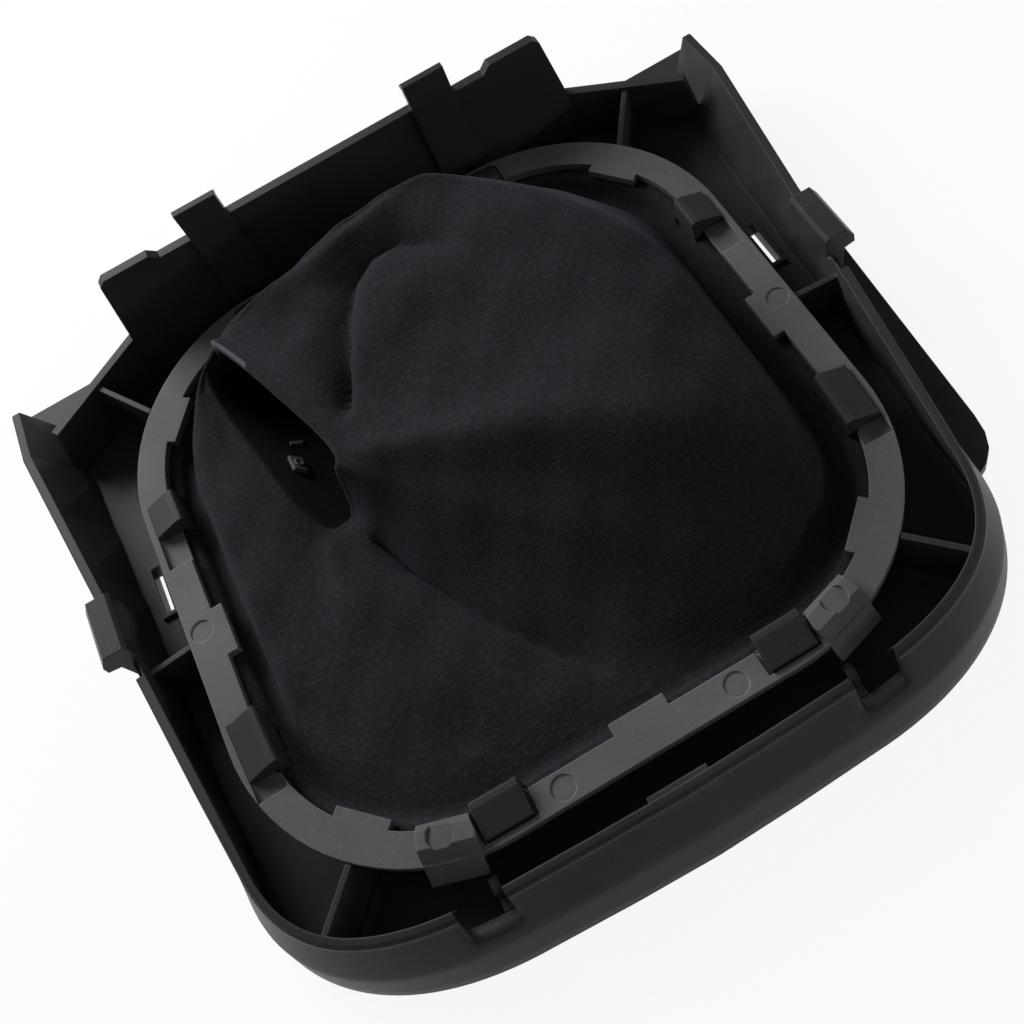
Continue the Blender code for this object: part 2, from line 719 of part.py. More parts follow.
def make_lugs(home):
    """Raised ends of the front bar: a flat top, then a ramp down in front of the band."""
    x, y = lug_point()
    profile = [
        (-RING_BAND - LUG_BACK, RING_LOW),
        (LUG_FOOT_START, RING_LOW),
        (LUG_REACH - LUG_TOE, RING_TOP - LUG_DROP),
        (LUG_REACH, RING_TOP - LUG_DROP),
        (-LUG_RAMP_START, RING_TOP + LUG_RISE),
        (LUG_ROUND - RING_BAND - LUG_BACK, RING_TOP + LUG_RISE),
        (-RING_BAND - LUG_BACK, RING_TOP + LUG_RISE - LUG_ROUND),
    ]
    for side in SIDES:
        across_seat("lug", side * x, y, profile, LUG_WIDTH, home)


def cut_pockets(home):
    """A pocket under each snap hook, open to the inside, with the band's thin outer rim left, and
    straight room for the hook's post where the band curves in."""
    low, high = RING_TOP - POCKET_DEPTH, RING_TOP + CUT_SPARE
    profile = rectangle(-RING_BAND - TAB_LAP, -POCKET_RIM, low, high)
    room = hook_room(COLLAR_TOP, high)
    for x, y, width, spare in HOOKS:
        for side in SIDES:
            across_seat("pocket", side * x, y, profile, width + 2 * POCKET_END_GAP, home, spare)
            across_seat("post_room", side * x, y, room, width + 2 * CLEARANCE, home)


def mark(name, centre, radius, low, high, home):
    bpy.ops.mesh.primitive_cylinder_add(
        vertices=24, radius=radius, depth=high - low, location=(*centre, (low + high) / 2)
    )
    cutter = bpy.context.object
    cutter.name = name
    for owner in list(cutter.users_collection):
        owner.objects.unlink(cutter)
    home.objects.link(cutter)


def cut_marks(home):
    """Shallow round marks left by the mould's pins."""
    top = RING_TOP + CUT_SPARE
    middle = RING_BAND / 2
    for side in SIDES:
        for x, y in ((side * SEAT_HALF_WIDTH, 0), (side * FRONT_MARK_X, -SEAT_FRONT)):
            centre, _ = seat_point(x, y, middle)
            mark("round_mark", centre, MARK_RADIUS, RING_TOP - MARK_DEPTH, top, home)
        x, y = lug_point()
        centre, _ = seat_point(side * (x + LUG_MARK_ASIDE), y, LUG_MARK_INSET)
        low = RING_TOP + LUG_RISE - 2 * MARK_DEPTH
        mark("lug_mark", centre, LUG_MARK_RADIUS, low, low + CUT_SPARE, home)


def make_ring(parts):
    band = [seat_outline(0), seat_outline(RING_BAND)]
    ring = slab("retaining_ring", band, RING_LOW, RING_TOP, parts)
    additions = collection("ring_tabs")
    make_ring_tabs(additions)
    make_lugs(additions)
    pockets = collection("ring_cutters")
    cut_pockets(pockets)
    cut_marks(pockets)
    return ring, (("UNION", additions), ("DIFFERENCE", pockets))


def seat_walk(count):
    """Evenly spaced unit bearings round the seat, as points on its outline."""
    fine = np.array(seat_outline(0))
    closed = np.vstack([fine, fine[:1]])
    steps = np.hypot(*np.diff(closed, axis=0).T)
    along = np.concatenate([[0], np.cumsum(steps)])
    wanted = np.arange(count) * along[-1] / count
    return np.stack([np.interp(wanted, along, closed[:, axis]) for axis in (0, 1)], 1)


def mouth_point(x, y, widen):
    """The mouth's long oval, at the bearing of (x, y), and how far round it that is."""
    long_way = np.array([math.cos(MOUTH_TURN), math.sin(MOUTH_TURN)])
    side_way = np.array([-long_way[1], long_way[0]])
    offset = np.array([x - MOUTH_X, y - MOUTH_Y])
    turn = math.atan2(offset @ side_way, offset @ long_way)
    ahead = math.copysign(abs(math.cos(turn)) ** MOUTH_SQUARE, math.cos(turn))
    aside = math.copysign(abs(math.sin(turn)) ** MOUTH_SQUARE, math.sin(turn))
    reach = long_way * ahead * (MOUTH_LENGTH - MOUTH_WIDTH + widen) / 2
    half_width = side_way * aside * widen / 2
    return np.array([MOUTH_X, MOUTH_Y]) + reach + half_width, turn


def nearest_on(line, points):
    """For each point in plan, the nearest point of a fold line and its distance, which is infinite
    past the line's ends."""
    best = np.full(len(points), np.inf)
    found = np.zeros((len(points), 3))
    past_end = np.zeros(len(points), bool)
    for index, (start, end) in enumerate(zip(line, line[1:])):
        run = end - start
        share = ((points - start[:2]) @ run[:2]) / (run[:2] @ run[:2])
        past = (share < 0) & (index == 0) | (share > 1) & (index == len(line) - 2)
        share = np.clip(share, 0, 1)
        spot = start + share[:, None] * run
        away = np.hypot(*(points - spot[:, :2]).T)
        closer = away < best
        best[closer] = away[closer]
        found[closer] = spot[closer]
        past_end[closer] = past[closer]
    best[past_end] = np.inf
    return found, best


def pin_nearest(line, points, fixed, reach):
    """Moves the one free point nearest to a fold line on to it, if it is within reach."""
    spots, away = nearest_on(line, points[:, :2])
    away[fixed] = np.inf
    nearest = int(np.argmin(away))
    if away[nearest] < reach:
        points[nearest] = spots[nearest]
        fixed[nearest] = True


def pin_folds(net, fixed, reach):
    """Moves net points on to the fold lines: one in each column for lines that run round, and one
    in each row for lines that run from the edge to the mouth."""
    for line in AROUND:
        for column in range(net.shape[1]):
            pin_nearest(np.array(line) * MM, net[:, column], fixed[:, column], reach)
    for line in ALONG:
        for row in range(net.shape[0]):
            pin_nearest(np.array(line) * MM, net[row], fixed[row], reach)


def relax(net, fixed, rounds):
    """Draws the free points taut between the pinned ones, as stretched cloth lies. In plan it
    relaxes how far each point has moved, so that the net doesn't fold over the mouth's ends."""
    for _ in range(rounds):
        mean = (np.roll(net, 1, 1) + np.roll(net, -1, 1)) / 4
        mean[1:-1] += (net[2:] + net[:-2]) / 4
        net[1:-1] = np.where(fixed[1:-1, :, None], net[1:-1], mean[1:-1])


def boot_rows():
    """The boot's mid surface as rows of points, from the clamped flange to the hem in the mouth."""
    walk = seat_walk(NET_COLUMNS)
    bearings = np.degrees(np.arctan2(walk[:, 1], walk[:, 0])) % 360
    table = np.array(GROOVE)
    wall = np.interp(bearings, table[:, 0], table[:, 1]) * MM
    groove = np.interp(bearings, table[:, 0], table[:, 2]) * MM

    def edge(inset, heights):
        plan = np.array([seat_point(x, y, inset)[0] for x, y in walk])
        return np.column_stack([plan, np.broadcast_to(heights, len(plan))])

    mouths = [mouth_point(x, y, MOUTH_WIDTH) for x, y in walk]
    turns = np.array([turn for _, turn in mouths])
    middle, tilt_aside, tilt_ahead = MOUTH_RIM
    rim_height = middle + tilt_aside * np.sin(turns) - tilt_ahead * np.cos(turns)
    rim = np.column_stack([[plan for plan, _ in mouths], rim_height])
    start = edge(NET_INSET, groove)
    shares = np.linspace(0, 1, NET_ROWS)[:, None, None]
    net = start * (1 - shares) + rim * shares
    fixed = np.zeros(net.shape[:2], bool)
    fixed[[0, -1]] = True
    plan = net[..., :2].copy()
    pin_folds(net, fixed, PIN_REACH)
    net[..., :2] -= plan
    relax(net, fixed, RELAX_PASSES)
    fixed[1:-1] = False
    relax(net, fixed, SMOOTH_PASSES)
    net[..., :2] += plan

    def hem(widen, height, lean):
        plan = np.array([mouth_point(x, y, widen)[0] for x, y in walk])
        return np.column_stack([plan + (lean, 0), height])

    flat = np.full(len(walk), HEM_BOTTOM)
    deep = rim_height * HEM_DEEP_SHARE + HEM_BOTTOM * (1 - HEM_DEEP_SHARE)
    rows = [
        edge(FLANGE_INSET, FLANGE_MID),
        edge(TURN_INSET, FLANGE_MID),
        edge(TURN_INSET + TURN_DROP, FLANGE_MID - TURN_DROP),
        edge(TURN_DEEP_INSET, wall),
        *net,
        hem(MOUTH_WIDTH - MOUTH_LIP, rim_height - MOUTH_LIP, 0),
        hem(MOUTH_WIDTH - MOUTH_LIP, deep, HEM_LEAN * HEM_DEEP_SHARE),
        hem(HEM_SLIT, flat, HEM_LEAN),
    ]
    return rows


def make_boot(parts):
    rows = boot_rows()
    cage = bmesh.new()
    loops = [[cage.verts.new(point) for point in row] for row in rows]
    for outer, inner in zip(loops, loops[1:]):
        for index in range(NET_COLUMNS):
            after = (index + 1) % NET_COLUMNS
            cage.faces.new((outer[index], outer[after], inner[after], inner[index]))
    mesh = bpy.data.meshes.new("boot")
    cage.to_mesh(mesh)
    cage.free()
    boot = as_object("boot", mesh, parts)
    mesh.shade_smooth()
    thick = boot.modifiers.new("cloth", "SOLIDIFY")
    thick.thickness = CLOTH_THICK
    thick.offset = 0
    slots = collection("boot_cutters")
    profile = hook_room(PLATE_THICK, RING_TOP)
    for x, y, width, _ in HOOKS:
        for side in SIDES:
            across_seat("hook_slot", side * x, y, profile, width + 2 * CLEARANCE, slots)
    return boot, (("DIFFERENCE", slots),)


def main():
    clear_scene()
    parts = collection("gear_shift_boot")
    made = (
        (make_bezel(parts), (0.018, 0.018, 0.019), 0.42),
        (make_ring(parts), (0.075, 0.078, 0.078), 0.6),
        (make_boot(parts), (0.016, 0.016, 0.022), 0.85),
    )
    base = bpy.data.objects.new("boot_base", None)
    base.location.y = (FRONT_FOOT - PLATE_REAR) / 2
    for obj in bpy.data.objects:
        obj.parent = base if obj != base else None
    parts.objects.link(base)
    for (piece, steps), colour, roughness in made:
        piece.data.materials.clear()
        piece.data.materials.append(material(piece.name, colour, roughness))
        for operation, tools in steps:
            combine(piece, operation, tools)


main()
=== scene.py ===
"""Looks of the gear shift boot: its folded cloth, plastic finishes, studio and camera.

Run as a script in Blender 4.5. Lengths are in metres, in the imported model's frame: the bezel's face
plate lies on the floor, +Z is up, towards the underside, and +Y is the rear, with the tall panel.
"""

import math

import bmesh
import bpy
import numpy as np
from bpy.props import FloatProperty, FloatVectorProperty, IntProperty, PointerProperty
from mathutils import Matrix, Quaternion, Vector


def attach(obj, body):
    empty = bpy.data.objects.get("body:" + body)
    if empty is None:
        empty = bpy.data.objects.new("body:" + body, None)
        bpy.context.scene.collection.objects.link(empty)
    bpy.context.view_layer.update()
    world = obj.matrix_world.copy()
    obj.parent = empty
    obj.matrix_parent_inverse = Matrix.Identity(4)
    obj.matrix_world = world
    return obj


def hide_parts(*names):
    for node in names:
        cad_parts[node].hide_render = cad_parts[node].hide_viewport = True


bl_info = {
    "name": "Gear Shift Boot",
    "version": (1, 0, 0),
    "blender": (4, 5, 0),
    "location": "3D View > Sidebar > Shift Boot",
    "description": "Folded cloth, moulded plastic finishes and a plain studio for a gear shift boot",
    "category": "Object",
}

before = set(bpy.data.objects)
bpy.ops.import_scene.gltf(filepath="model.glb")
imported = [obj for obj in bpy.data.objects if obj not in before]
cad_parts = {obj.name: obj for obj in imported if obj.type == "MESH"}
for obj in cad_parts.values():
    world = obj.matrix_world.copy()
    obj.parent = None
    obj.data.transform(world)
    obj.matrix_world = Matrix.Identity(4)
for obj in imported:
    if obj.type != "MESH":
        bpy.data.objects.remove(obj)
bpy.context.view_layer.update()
BODY = "root"
MM = 0.001

# The middle of the boot's seat lies this far from the frame's origin. All places and outlines of
# the boot below are measured from the seat's middle, those of the fastener from the frame's origin
SEAT_SHIFT_Y = -1.4 * MM

# Seat of the retaining ring, and the clamp under it
SEAT_HALF_WIDTH = 59.2 * MM
SEAT_FRONT = 57.7 * MM
SEAT_REAR = 61.0 * MM
SEAT_RADIUS = 35.5 * MM
CORE_HALF = SEAT_HALF_WIDTH - SEAT_RADIUS
CORE_FRONT = SEAT_RADIUS - SEAT_FRONT
CORE_REAR = SEAT_REAR - SEAT_RADIUS
CORNER_STEPS = 24
FLANGE_MID = 12.65 * MM
FLANGE_INSET = 0.7 * MM
TURN_INSET = 6.1 * MM
NET_INSET = 10.4 * MM
SLOT_LOW = 5.65 * MM
SLOT_HIGH = 7.35 * MM
SLOT_SNUG = 0.45 * MM
# The clamped edge in section: inset from the seat's outline, and height over the flange's middle
COLLAR = (
    (FLANGE_INSET, 0.0),
    (3.0 * MM, 0.0),
    (SLOT_LOW, 0.0),
    (TURN_INSET, 0.0),
    (TURN_INSET + 0.6 * MM, -0.25 * MM),
    (TURN_INSET + 1.1 * MM, -0.8 * MM),
    (SLOT_HIGH, -1.6 * MM),
)
# Below it the wall of the groove: insets of a point half-way down and of its foot
WALL_INSETS = (SLOT_HIGH + 0.5 * MM, TURN_INSET + 2.8 * MM)
COLLAR_ROWS = len(COLLAR) + len(WALL_INSETS)
SIDES = (1, -1)
# Centre and width of the four snap hooks on the right-hand side, which the left-hand side mirrors
HOOKS = (
    (57.0 * MM, 24.2 * MM, 6.9 * MM),
    (57.0 * MM, -23.8 * MM, 10.4 * MM),
    (24.2 * MM, -55.0 * MM, 8.0 * MM),
    (25.2 * MM, 58.0 * MM, 6.5 * MM),
)

# Mouth of the boot, a long slit in the lower sheet. Its outline in plan is an oval, squared by an
# exponent, and wider towards the front on the lump's side
MOUTH_X = -31.0 * MM
MOUTH_Y = 26.0 * MM
MOUTH_LENGTH = 42.0 * MM
MOUTH_WIDTH = 11.0 * MM
MOUTH_TURN = math.radians(-80)
MOUTH_SQUARE = 0.5
MOUTH_FLARE = 0.6
# Height of the rim on the sheet's and on the lump's side: mean, and how far under that its front
# is. It rises from one to the other as the sine of the turn round the mouth goes from 0 to RIM_TURN
SHEET_RIM = (16.3 * MM, 3.6 * MM)
LUMP_RIM = (25.8 * MM, -0.6 * MM)
RIM_TURN = 0.4
# The cloth turns in at the rim, as how much narrower and how much higher each row is, and the hem
# tube then leads down, narrows to a slit and leans to the right
MOUTH_LIP = 1.5 * MM
LIP = ((0.5 * MM, 0.1 * MM), (1.1 * MM, -0.4 * MM), (MOUTH_LIP, -MOUTH_LIP))
TUBE_ROWS = 14
TUBE_NARROWS_AT = 0.55
HEM_LEAN = 7.5 * MM
HEM_BOTTOM = 4.5 * MM
HEM_SLIT = 2.4 * MM
# Strength of the painted shade inside the mouth, from the lip's second row to the hem's end, where over
# 1 counts as 1
PAINTED_SHADE_STRENGTH = (0.2, 3.0)
# Stretch of the rim that shows the hem's thread, as turns round the mouth, and its rows
HEM_THREAD = (math.radians(105), math.radians(165))
THREAD_ROWS = 2

# The groove inside the ring, by bearing in degrees from the seat's middle: height in millimetres at
# the foot of its wall and at the net's first row
GROOVE = (
    (0, 8.0, 7.0),
    (45, 8.5, 9.0),
    (75, 15.0, 22.0),
    (100, 15.0, 22.0),
    (130, 10.5, 12.0),
    (180, 10.0, 11.5),
    (225, 9.5, 10.0),
    (270, 9.5, 10.0),
    (315, 9.0, 9.0),
    (360, 8.0, 7.0),
)

# Fold lines of the boot, as x, y and height in millimetres. CREST is the lump's outer top edge,
# FRONT_CREST the inner edge of the band beside it and HOLLOW the dip inside that. CREASE runs down
# the plateau's left, ROLL is its lower edge and LUMP_FRONT the middle of the facet below it. VALLEY
# parts that facet from the lower sheet
CREST = (
    (-25.0, 46.0, 28.5),
    (-18.0, 46.8, 31.0),
    (-11.0, 48.0, 32.5),
    (-4.0, 49.0, 34.0),
    (8.0, 49.5, 35.0),
    (14.0, 48.5, 34.5),
    (20.0, 45.5, 32.0),
    (30.0, 36.0, 30.5),
    (38.0, 24.5, 29.5),
    (42.5, 13.0, 29.0),
    (43.0, 0.0, 28.5),
    (43.0, -14.0, 27.5),
    (42.0, -26.0, 24.0),
    (40.0, -35.0, 19.0),
)
LEFT_FOLD = ((-46.5, 27.0, 17.0), (-48.5, 14.0, 17.0), (-48.5, 0.0, 15.5), (-48.0, -16.0, 13.5))
FRONT_CREST = (
    (-8.0, 44.5, 34.0),
    (0.0, 46.5, 35.0),
    (7.0, 44.8, 35.3),
    (14.3, 38.5, 35.3),
    (22.0, 29.7, 35.0),
    (27.6, 17.5, 34.0),
    (32.4, 4.8, 33.0),
    (33.5, -6.5, 32.5),
)
HOLLOW = (
    (-3.5, 40.5, 31.5),
    (2.0, 41.0, 31.5),
    (7.3, 38.0, 31.5),
    (13.5, 32.5, 31.0),
    (19.2, 25.0, 30.5),
    (23.0, 13.0, 30.0),
    (27.0, 1.0, 30.0),
    (29.0, -8.0, 31.5),
)
CREASE = (
    (-6.5, 37.0, 33.0),
    (-9.4, 32.0, 32.5),
    (-12.9, 25.0, 31.5),
    (-16.2, 18.0, 29.0),
    (-19.2, 11.5, 26.0),
)
ROLL = (
    (-17.5, 7.0, 27.5),
    (-7.4, 0.6, 32.0),
    (2.1, -5.3, 33.5),
    (12.8, -10.5, 34.0),
    (21.8, -14.8, 33.5),
    (28.4, -20.4, 32.0),
    (34.4, -26.3, 29.5),
)
LUMP_FRONT = ((-16.0, 3.0, 24.0), (-5.0, -12.0, 24.5), (5.0, -23.0, 23.5), (13.0, -33.0, 20.5))
VALLEY = (
    (-25.0, 2.0, 14.0),
    (-21.0, -9.0, 12.0),
    (-12.5, -25.0, 11.0),
    (-5.0, -36.0, 10.5),
    (0.0, -44.0, 10.0),
)
LOWER_SHEET = ((-33.0, -2.0, 17.0), (-27.0, -20.0, 15.5), (-20.0, -36.0, 13.0))
# The furrow round the plateau, a line in plan, so its heights have no use
FURROW = (
    (-19.2, 11.5, 0.0),
    (-16.2, 18.0, 0.0),
    (-12.9, 25.0, 0.0),
    (-9.4, 32.0, 0.0),
    (-6.0, 37.8, 0.0),
    (-1.0, 41.0, 0.0),
    (4.5, 40.3, 0.0),
    (10.5, 35.5, 0.0),
    (16.5, 28.5, 0.0),
    (21.0, 19.0, 0.0),
)
# Steps pressed into the cloth: line, depth at its start and end, and how soon the drop dies away to
# the left of the line's own run and, at its start and end, to the right
STEPS = (
    (FURROW, (7.0 * MM, 1.5 * MM), 5.5 * MM, (0.5 * MM, 3.0 * MM)),
    (VALLEY, (3.2 * MM, 2.2 * MM), 3.5 * MM, (0.5 * MM, 0.5 * MM)),
)
# Shares of a step's line over which it fades in and out, and rows at both ends of the net over which
# steps and ripples fade in
STEP_FADE_IN = 0.12
STEP_FADE_OUT = 0.3
END_ROWS = 8
# Ripples: bearing in degrees, length in millimetres and phase of each wave, whose height grows with
# its length, and the length at which it is the ripple setting
WAVES = ((12, 21, 0.3), (55, 13, 1.9), (101, 17, 4.0), (140, 9, 2.2), (33, 7, 5.1))
WAVE_UNIT = 13
# Lines pinned once in each column of the net, and lines pinned once in each row. The sharp ones are
# pinned again each time the net is refined
AROUND = (CREST, FRONT_CREST, HOLLOW, LEFT_FOLD)
ALONG = (CREASE, ROLL, LUMP_FRONT, VALLEY, LOWER_SHEET)
SHARP_AROUND = (CREST,)
SHARP_ALONG = (VALLEY,)
# How near to a line a point is pinned, rounds of drawing taut while pinned and of softening after,
# and rounds of both each time the net is refined
PIN_REACH = 3.2 * MM
RELAX_PASSES = 400
SMOOTH_PASSES = 2
REFINE_PASSES = 3
REFINEMENTS = 2

# Fastener on the hem, a plate with a ring-shaped rib, and a bar beside it
FASTENER_SIZE = (3.0 * MM, 4.0 * MM, 0.9 * MM)
FASTENER_PLACE = (-31.4 * MM, 22.3 * MM, 9.9 * MM)
FASTENER_SPIN = math.radians(78)
FASTENER_BEVEL_SHARE = 0.3
FASTENER_COLOUR = (0.1, 0.102, 0.102)
FASTENER_ROUGHNESS = 0.5
FASTENER_GRAIN = 0.35 * MM
FASTENER_EDGE = 0.1 * MM
RIB_RADIUS = 0.75 * MM
RIB_WIRE = 0.25 * MM
RIB_HEIGHT = FASTENER_SIZE[2] * 0.55
BAR_PLACE = (-30.2 * MM, 28.1 * MM, 8.0 * MM)
BAR_SIZE = (2.6 * MM, 0.8 * MM, 0.8 * MM)

# The bezel's front wall, as its finish finds it
FRONT_WALL_Y = -50.0 * MM
FRONT_WALL_Z = 14.0 * MM
FRONT_WALL_RADIUS = 2.5 * MM

# Finish of the plastics. Shades are multiples of the colour, noise scales are per metre and stops are
# (place, grey). Edges count as worn where the rounded and the true normal part, by their dot product
CLOUD_STOPS = ((0.3, 0.0), (0.7, 1.0))
PLASTIC_CLOUD = 45.0
PLASTIC_SHADES = (0.82, 1.2)
PLASTIC_SPECULAR = 0.08
SPECKS_PER_GRAIN = 0.5
SPECK_STOPS = ((0.62, 0.0), (0.8, 0.5))
SPECK_SHADE = 1.9
WORN_BELOW = 0.93
UNWORN_ABOVE = 0.995
RUB_STOPS = ((0.35, 0.2), (0.7, 1.0))
RUBBED_SHADE = 3.2
ROUGHNESS_SPREAD = (-0.07, 0.09)
GRAIN_STRENGTH = 0.5
BEVEL_SAMPLES = 8

# Finish of the cloth: the weave is stretched noise, in dashes to a rib's width, with weak rows
WEAVE_TURN = math.radians(8)
DASH_SCALE = (0.6, 1.3, 1.3)
ROW_SCALE = 0.4
ROW_BEND = 6.0
ROW_SHARE = 0.12
FIBRE_SCALE = 2300.0
FIBRE_SHARE = 0.4
CLOTH_CLOUD = 38.0
CLOTH_SHADES = (0.85, 1.12)
# Painted sheen: the weave's highest points are mixed towards a lighter, bluish shade of the colour
PAINTED_SHEEN_STOPS = ((0.7, 0.0), (0.98, 0.65))
PAINTED_SHEEN_SHADES = (1.9, 1.9, 2.3)
# Painted shade inside the mouth: the cloth there is darkened to this share of its colour
PAINTED_SHADE_DARKNESS = 0.25
THREAD_SHADE = 6.0
CLOTH_ROUGHNESS = 0.9
CLOTH_SPECULAR = 0.05
SHEEN_WEIGHT = 0.05
SHEEN_ROUGHNESS = 0.5
SHEEN_TINT = (0.75, 0.78, 1.0, 1)
WEAVE_STRENGTH = 0.7
WEAVE_DEPTH = 0.13 * MM

# Camera details, and the lamps' places and sizes
SENSOR_WIDTH = 36.0
LENS_SHIFT = (-0.0452, -0.0971)
CLIP_START = 0.01
KEY_PLACE = (-0.25, 0.45, 0.35)
KEY_SIZE = (0.4, 0.3)
EDGE_PLACE = (0.5, -0.35, 0.16)
EDGE_SIZE = (0.5, 0.035)
LAMP_AIM = (0, 0, 0.01)
FLOOR_SIZE = 4.0
FLOOR_HEIGHT = -0.2 * MM
FLOOR_WHITENESS = 0.9
FLOOR_ROUGHNESS = 0.9
FLOOR_SPECULAR = 0.1
WHITE = (1, 1, 1, 1)


class ShiftBootStage(bpy.types.PropertyGroup):
    """Camera, lamps and floor."""

    azimuth: FloatProperty(
        name="Camera Azimuth",
        description="Bearing of the camera round the part, from straight in front",
        default=math.radians(-5.61),
        subtype="ANGLE",
    )
    elevation: FloatProperty(
        name="Camera Elevation",
        description="Height of the camera above the floor's plane",
        default=math.radians(57.0),
        subtype="ANGLE",
    )
    roll: FloatProperty(
        name="Camera Roll",
        description="Turn of the camera about its own view",
        default=math.radians(-25.41),
        subtype="ANGLE",
    )
    place: FloatVectorProperty(
        name="Camera Place",
        description="Where the camera stands",
        default=(0.00195, -0.12021, 0.20196),
        subtype="XYZ",
        unit="LENGTH",
    )
    lens: FloatProperty(
        name="Focal Length",
        description="Focal length in millimetres on a 36 mm sensor",
        default=45.7,
        min=10,
    )
    key_power: FloatProperty(
        name="Key Lamp",
        description="Power of the large soft lamp above the rear",
        default=4.5,
        min=0,
        unit="POWER",
    )
    rim_power: FloatProperty(
        name="Edge Lamp",
        description="Power of the long lamp low in front, which lights rounded edges",
        default=0.5,
        min=0,
        unit="POWER",
    )
    room_level: FloatProperty(
        name="Room Light",
        description="Strength of the even light from all round",
        default=0.17,
        min=0,
    )
    floor_colour: FloatVectorProperty(
        name="Floor Colour",
        description="Colour of the floor under the part",
        default=(0.9, 0.9, 0.9),
        subtype="COLOR",
        min=0,
        max=1,
    )


class ShiftBootPlastic(bpy.types.PropertyGroup):
    """Finishes of the moulded bezel and of the retaining ring."""

    bezel_colour: FloatVectorProperty(
        name="Bezel Colour",
        description="Colour of the bezel's satin black plastic",
        default=(0.038, 0.038, 0.0385),
        subtype="COLOR",
        min=0,
        max=1,
    )
    bezel_roughness: FloatProperty(
        name="Bezel Roughness",
        description="How matt the bezel's plastic is",
        default=0.38,
        min=0,
        max=1,
    )
    ring_colour: FloatVectorProperty(
        name="Ring Colour",
        description="Colour of the ring's dark grey plastic",
        default=(0.106, 0.109, 0.108),
        subtype="COLOR",
        min=0,
        max=1,
    )
    ring_roughness: FloatProperty(
        name="Ring Roughness",
        description="How matt the ring's plastic is",
        default=0.58,
        min=0,
        max=1,
    )
    edge_radius: FloatProperty(
        name="Edge Radius",
        description="Radius of the moulded edges, as light shows it",
        default=0.3 * MM,
        min=0,
        unit="LENGTH",
    )
    grain_size: FloatProperty(
        name="Grain Size",
        description="Width of one bump of the moulded grain",
        default=0.35 * MM,
        min=0.05 * MM,
        unit="LENGTH",
    )


class ShiftBootCloth(bpy.types.PropertyGroup):
    """The boot's cloth."""

    colour: FloatVectorProperty(
        name="Cloth Colour",
        description="Colour of the navy black cloth",
        default=(0.0165, 0.0165, 0.0185),
        subtype="COLOR",
        min=0,
        max=1,
    )
    thickness: FloatProperty(
        name="Cloth Thickness",
        description="Thickness of the cloth",
        default=0.7 * MM,
        min=0.2 * MM,
        unit="LENGTH",
    )
    rib_width: FloatProperty(
        name="Rib Width",
        description="Distance from one rib of the weave to the next",
        default=0.6 * MM,
        min=0.2 * MM,
        unit="LENGTH",
    )
    columns: IntProperty(
        name="Columns",
        description="Points round the boot before the cloth is refined twice",
        default=80,
        min=32,
        max=96,
    )
    rows: IntProperty(
        name="Rows",
        description="Rows from the clamp to the mouth before the cloth is refined twice",
        default=16,
        min=8,
        max=24,
    )
    ripple: FloatProperty(
        name="Ripple",
        description="Height of the faint ripples in the cloth",
        default=0.12 * MM,
        min=0,
        unit="LENGTH",
    )


def new_material(name):
    """A node material with its shader, and a function that adds and wires nodes."""
    made = bpy.data.materials.new(name)
    made.use_nodes = True
    tree = made.node_tree
    shader = tree.nodes["Principled BSDF"]

    def add(kind, inputs=None, **settings):
        node = tree.nodes.new(kind)
        for key, value in settings.items():
            setattr(node, key, value)
        for key, value in (inputs or {}).items():
            if isinstance(value, bpy.types.NodeSocket):
                tree.links.new(value, node.inputs[key])
            else:
                node.inputs[key].default_value = value
        return node

    return made, shader, tree, add


def ramp(add, source, *stops):
    """A colour ramp through (place, grey) stops."""
    node = add("ShaderNodeValToRGB", {"Fac": source})
    elements = node.color_ramp.elements
    while len(elements) < len(stops):
        elements.new(0.5)
    for element, (place, grey) in zip(elements, stops):
        element.position = place
        element.color = (grey, grey, grey, 1)
    return node.outputs["Color"]


def mixed(add, share, first, second):
    """Two colours, each a socket or plain, mixed by a share that is a socket."""
    node = add("ShaderNodeMix", data_type="RGBA")
    tree = node.id_data
    by_name = {socket.identifier: socket for socket in node.inputs}
    for key, value in (("Factor_Float", share), ("A_Color", first), ("B_Color", second)):
        if isinstance(value, bpy.types.NodeSocket):
            tree.links.new(value, by_name[key])
        else:
            by_name[key].default_value = (*value, 1)
    return {socket.identifier: socket for socket in node.outputs}["Result_Color"]


def lighter(colour, by):
    """The colour times a number, which is under 1 to darken it."""
    return tuple(min(1.0, part * by) for part in colour)


def mottled(add, cloud, colour, shades):
    """The colour between a darker and a lighter shade of it, by a cloudy noise."""
    share = ramp(add, cloud.outputs["Fac"], *CLOUD_STOPS)
    return mixed(add, share, lighter(colour, shades[0]), lighter(colour, shades[1]))


